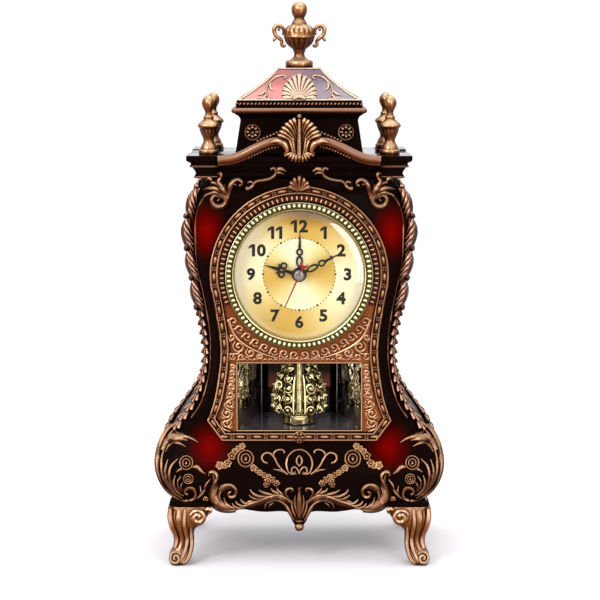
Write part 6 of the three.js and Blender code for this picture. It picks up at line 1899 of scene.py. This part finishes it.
# Stage: pale floor, soft lamps and the camera
stage = {
    "floorSize": 60.0, "floorTones": ((0.0, "#e9e2e9"), (1.0, "#eee8ee")), "cloudSize": 300,
    "floorLift": 0.66, "shadeReach": 160, "worldLight": 0.5,
    "lens": 100, "cameraPlace": (0.5, -1177, 363), "cameraPitch": 8.9,
    # name, place, width and height, power
    "lamps": (("key", (-620, -900, 900), (380, 380), 5.5), ("right_strip", (430, -760, 330), (260, 620), 2.6),
              ("left_strip", (-760, -420, 300), (120, 620), 1.6), ("top", (100, 150, 1250), (800, 800), 3.5)),
    "aim": (0, 0, 190),
}


def backgroundSeen(tree):
    # one where the camera, or a reflection or glass, looks at the background
    ray = put(tree, "LightPath").outputs
    seen = put(tree, "Math", {0: ray["Is Camera Ray"], 1: ray["Is Glossy Ray"]}, operation="MAXIMUM")
    return put(tree, "Math", {0: seen, 1: ray["Is Transmission Ray"]}, operation="MAXIMUM")


def makeFloor():
    bpy.ops.object.select_all(action="DESELECT")
    bpy.ops.mesh.primitive_grid_add(x_subdivisions=8, y_subdivisions=8, size=stage["floorSize"])
    floor = bpy.context.object
    floor.name = "floor"
    # matt paper, white where nothing stands near it; near the feet its glow is cut back as a painted shadow
    material, tree, place = blank("pale_paper_floor")
    near = put(tree, "AmbientOcclusion", inputs={"Distance": stage["shadeReach"] * mm}, samples=8)
    # painted shadow: less glow where the clock stands near
    clear = put(tree, "Math", {0: near.outputs["AO"]}, {1: stage["floorLift"]}, operation="MULTIPLY")
    lift = put(tree, "Math", {0: backgroundSeen(tree), 1: clear}, operation="MULTIPLY")
    cloud = put(tree, "TexNoise", {"Vector": place}, {"Scale": perSize(stage["cloudSize"])})
    colour = put(tree, "ValToRGB", {"Fac": cloud}, stops=stage["floorTones"])
    surfaced(material, {"Base Color": colour, "Emission Strength": lift},
             {"Roughness": 0.9, "Specular IOR Level": 0.0, "Emission Color": (1, 1, 1, 1)})
    floor.data.materials.append(material)


def makeWorld():
    world = bpy.data.worlds.new("studio")
    world.use_nodes = True
    tree = world.node_tree
    tree.nodes.clear()
    level = put(tree, "MapRange", {"Value": backgroundSeen(tree)}, between(stage["worldLight"], 1.0))
    sky = put(tree, "Background", {"Strength": level}, {"Color": (1, 1, 1, 1)})
    put(tree, "OutputWorld", {"Surface": sky})
    scene.world = world


def makeLamps():
    for name, place, size, power in stage["lamps"]:
        light = bpy.data.lights.new(name + "_lamp", "AREA")
        light.shape = "RECTANGLE"
        light.size, light.size_y = (side * mm for side in size)
        light.energy = power
        lamp = placed(name + "_lamp", light)
        lamp.location = Vector(place) * mm
        aim = Vector(stage["aim"]) - Vector(place)
        lamp.rotation_euler = aim.to_track_quat("-Z", "Y").to_euler()


def makeCamera():
    camera = bpy.data.cameras.new("camera")
    camera.lens = stage["lens"]
    holder = placed("camera", camera)
    holder.location = Vector(stage["cameraPlace"]) * mm
    holder.rotation_euler = (radians(90 - stage["cameraPitch"]), 0, 0)
    scene.camera = holder


makeFloor()
makeWorld()
makeLamps()
makeCamera()
scene.view_settings.view_transform = "Standard"
print("stage set")
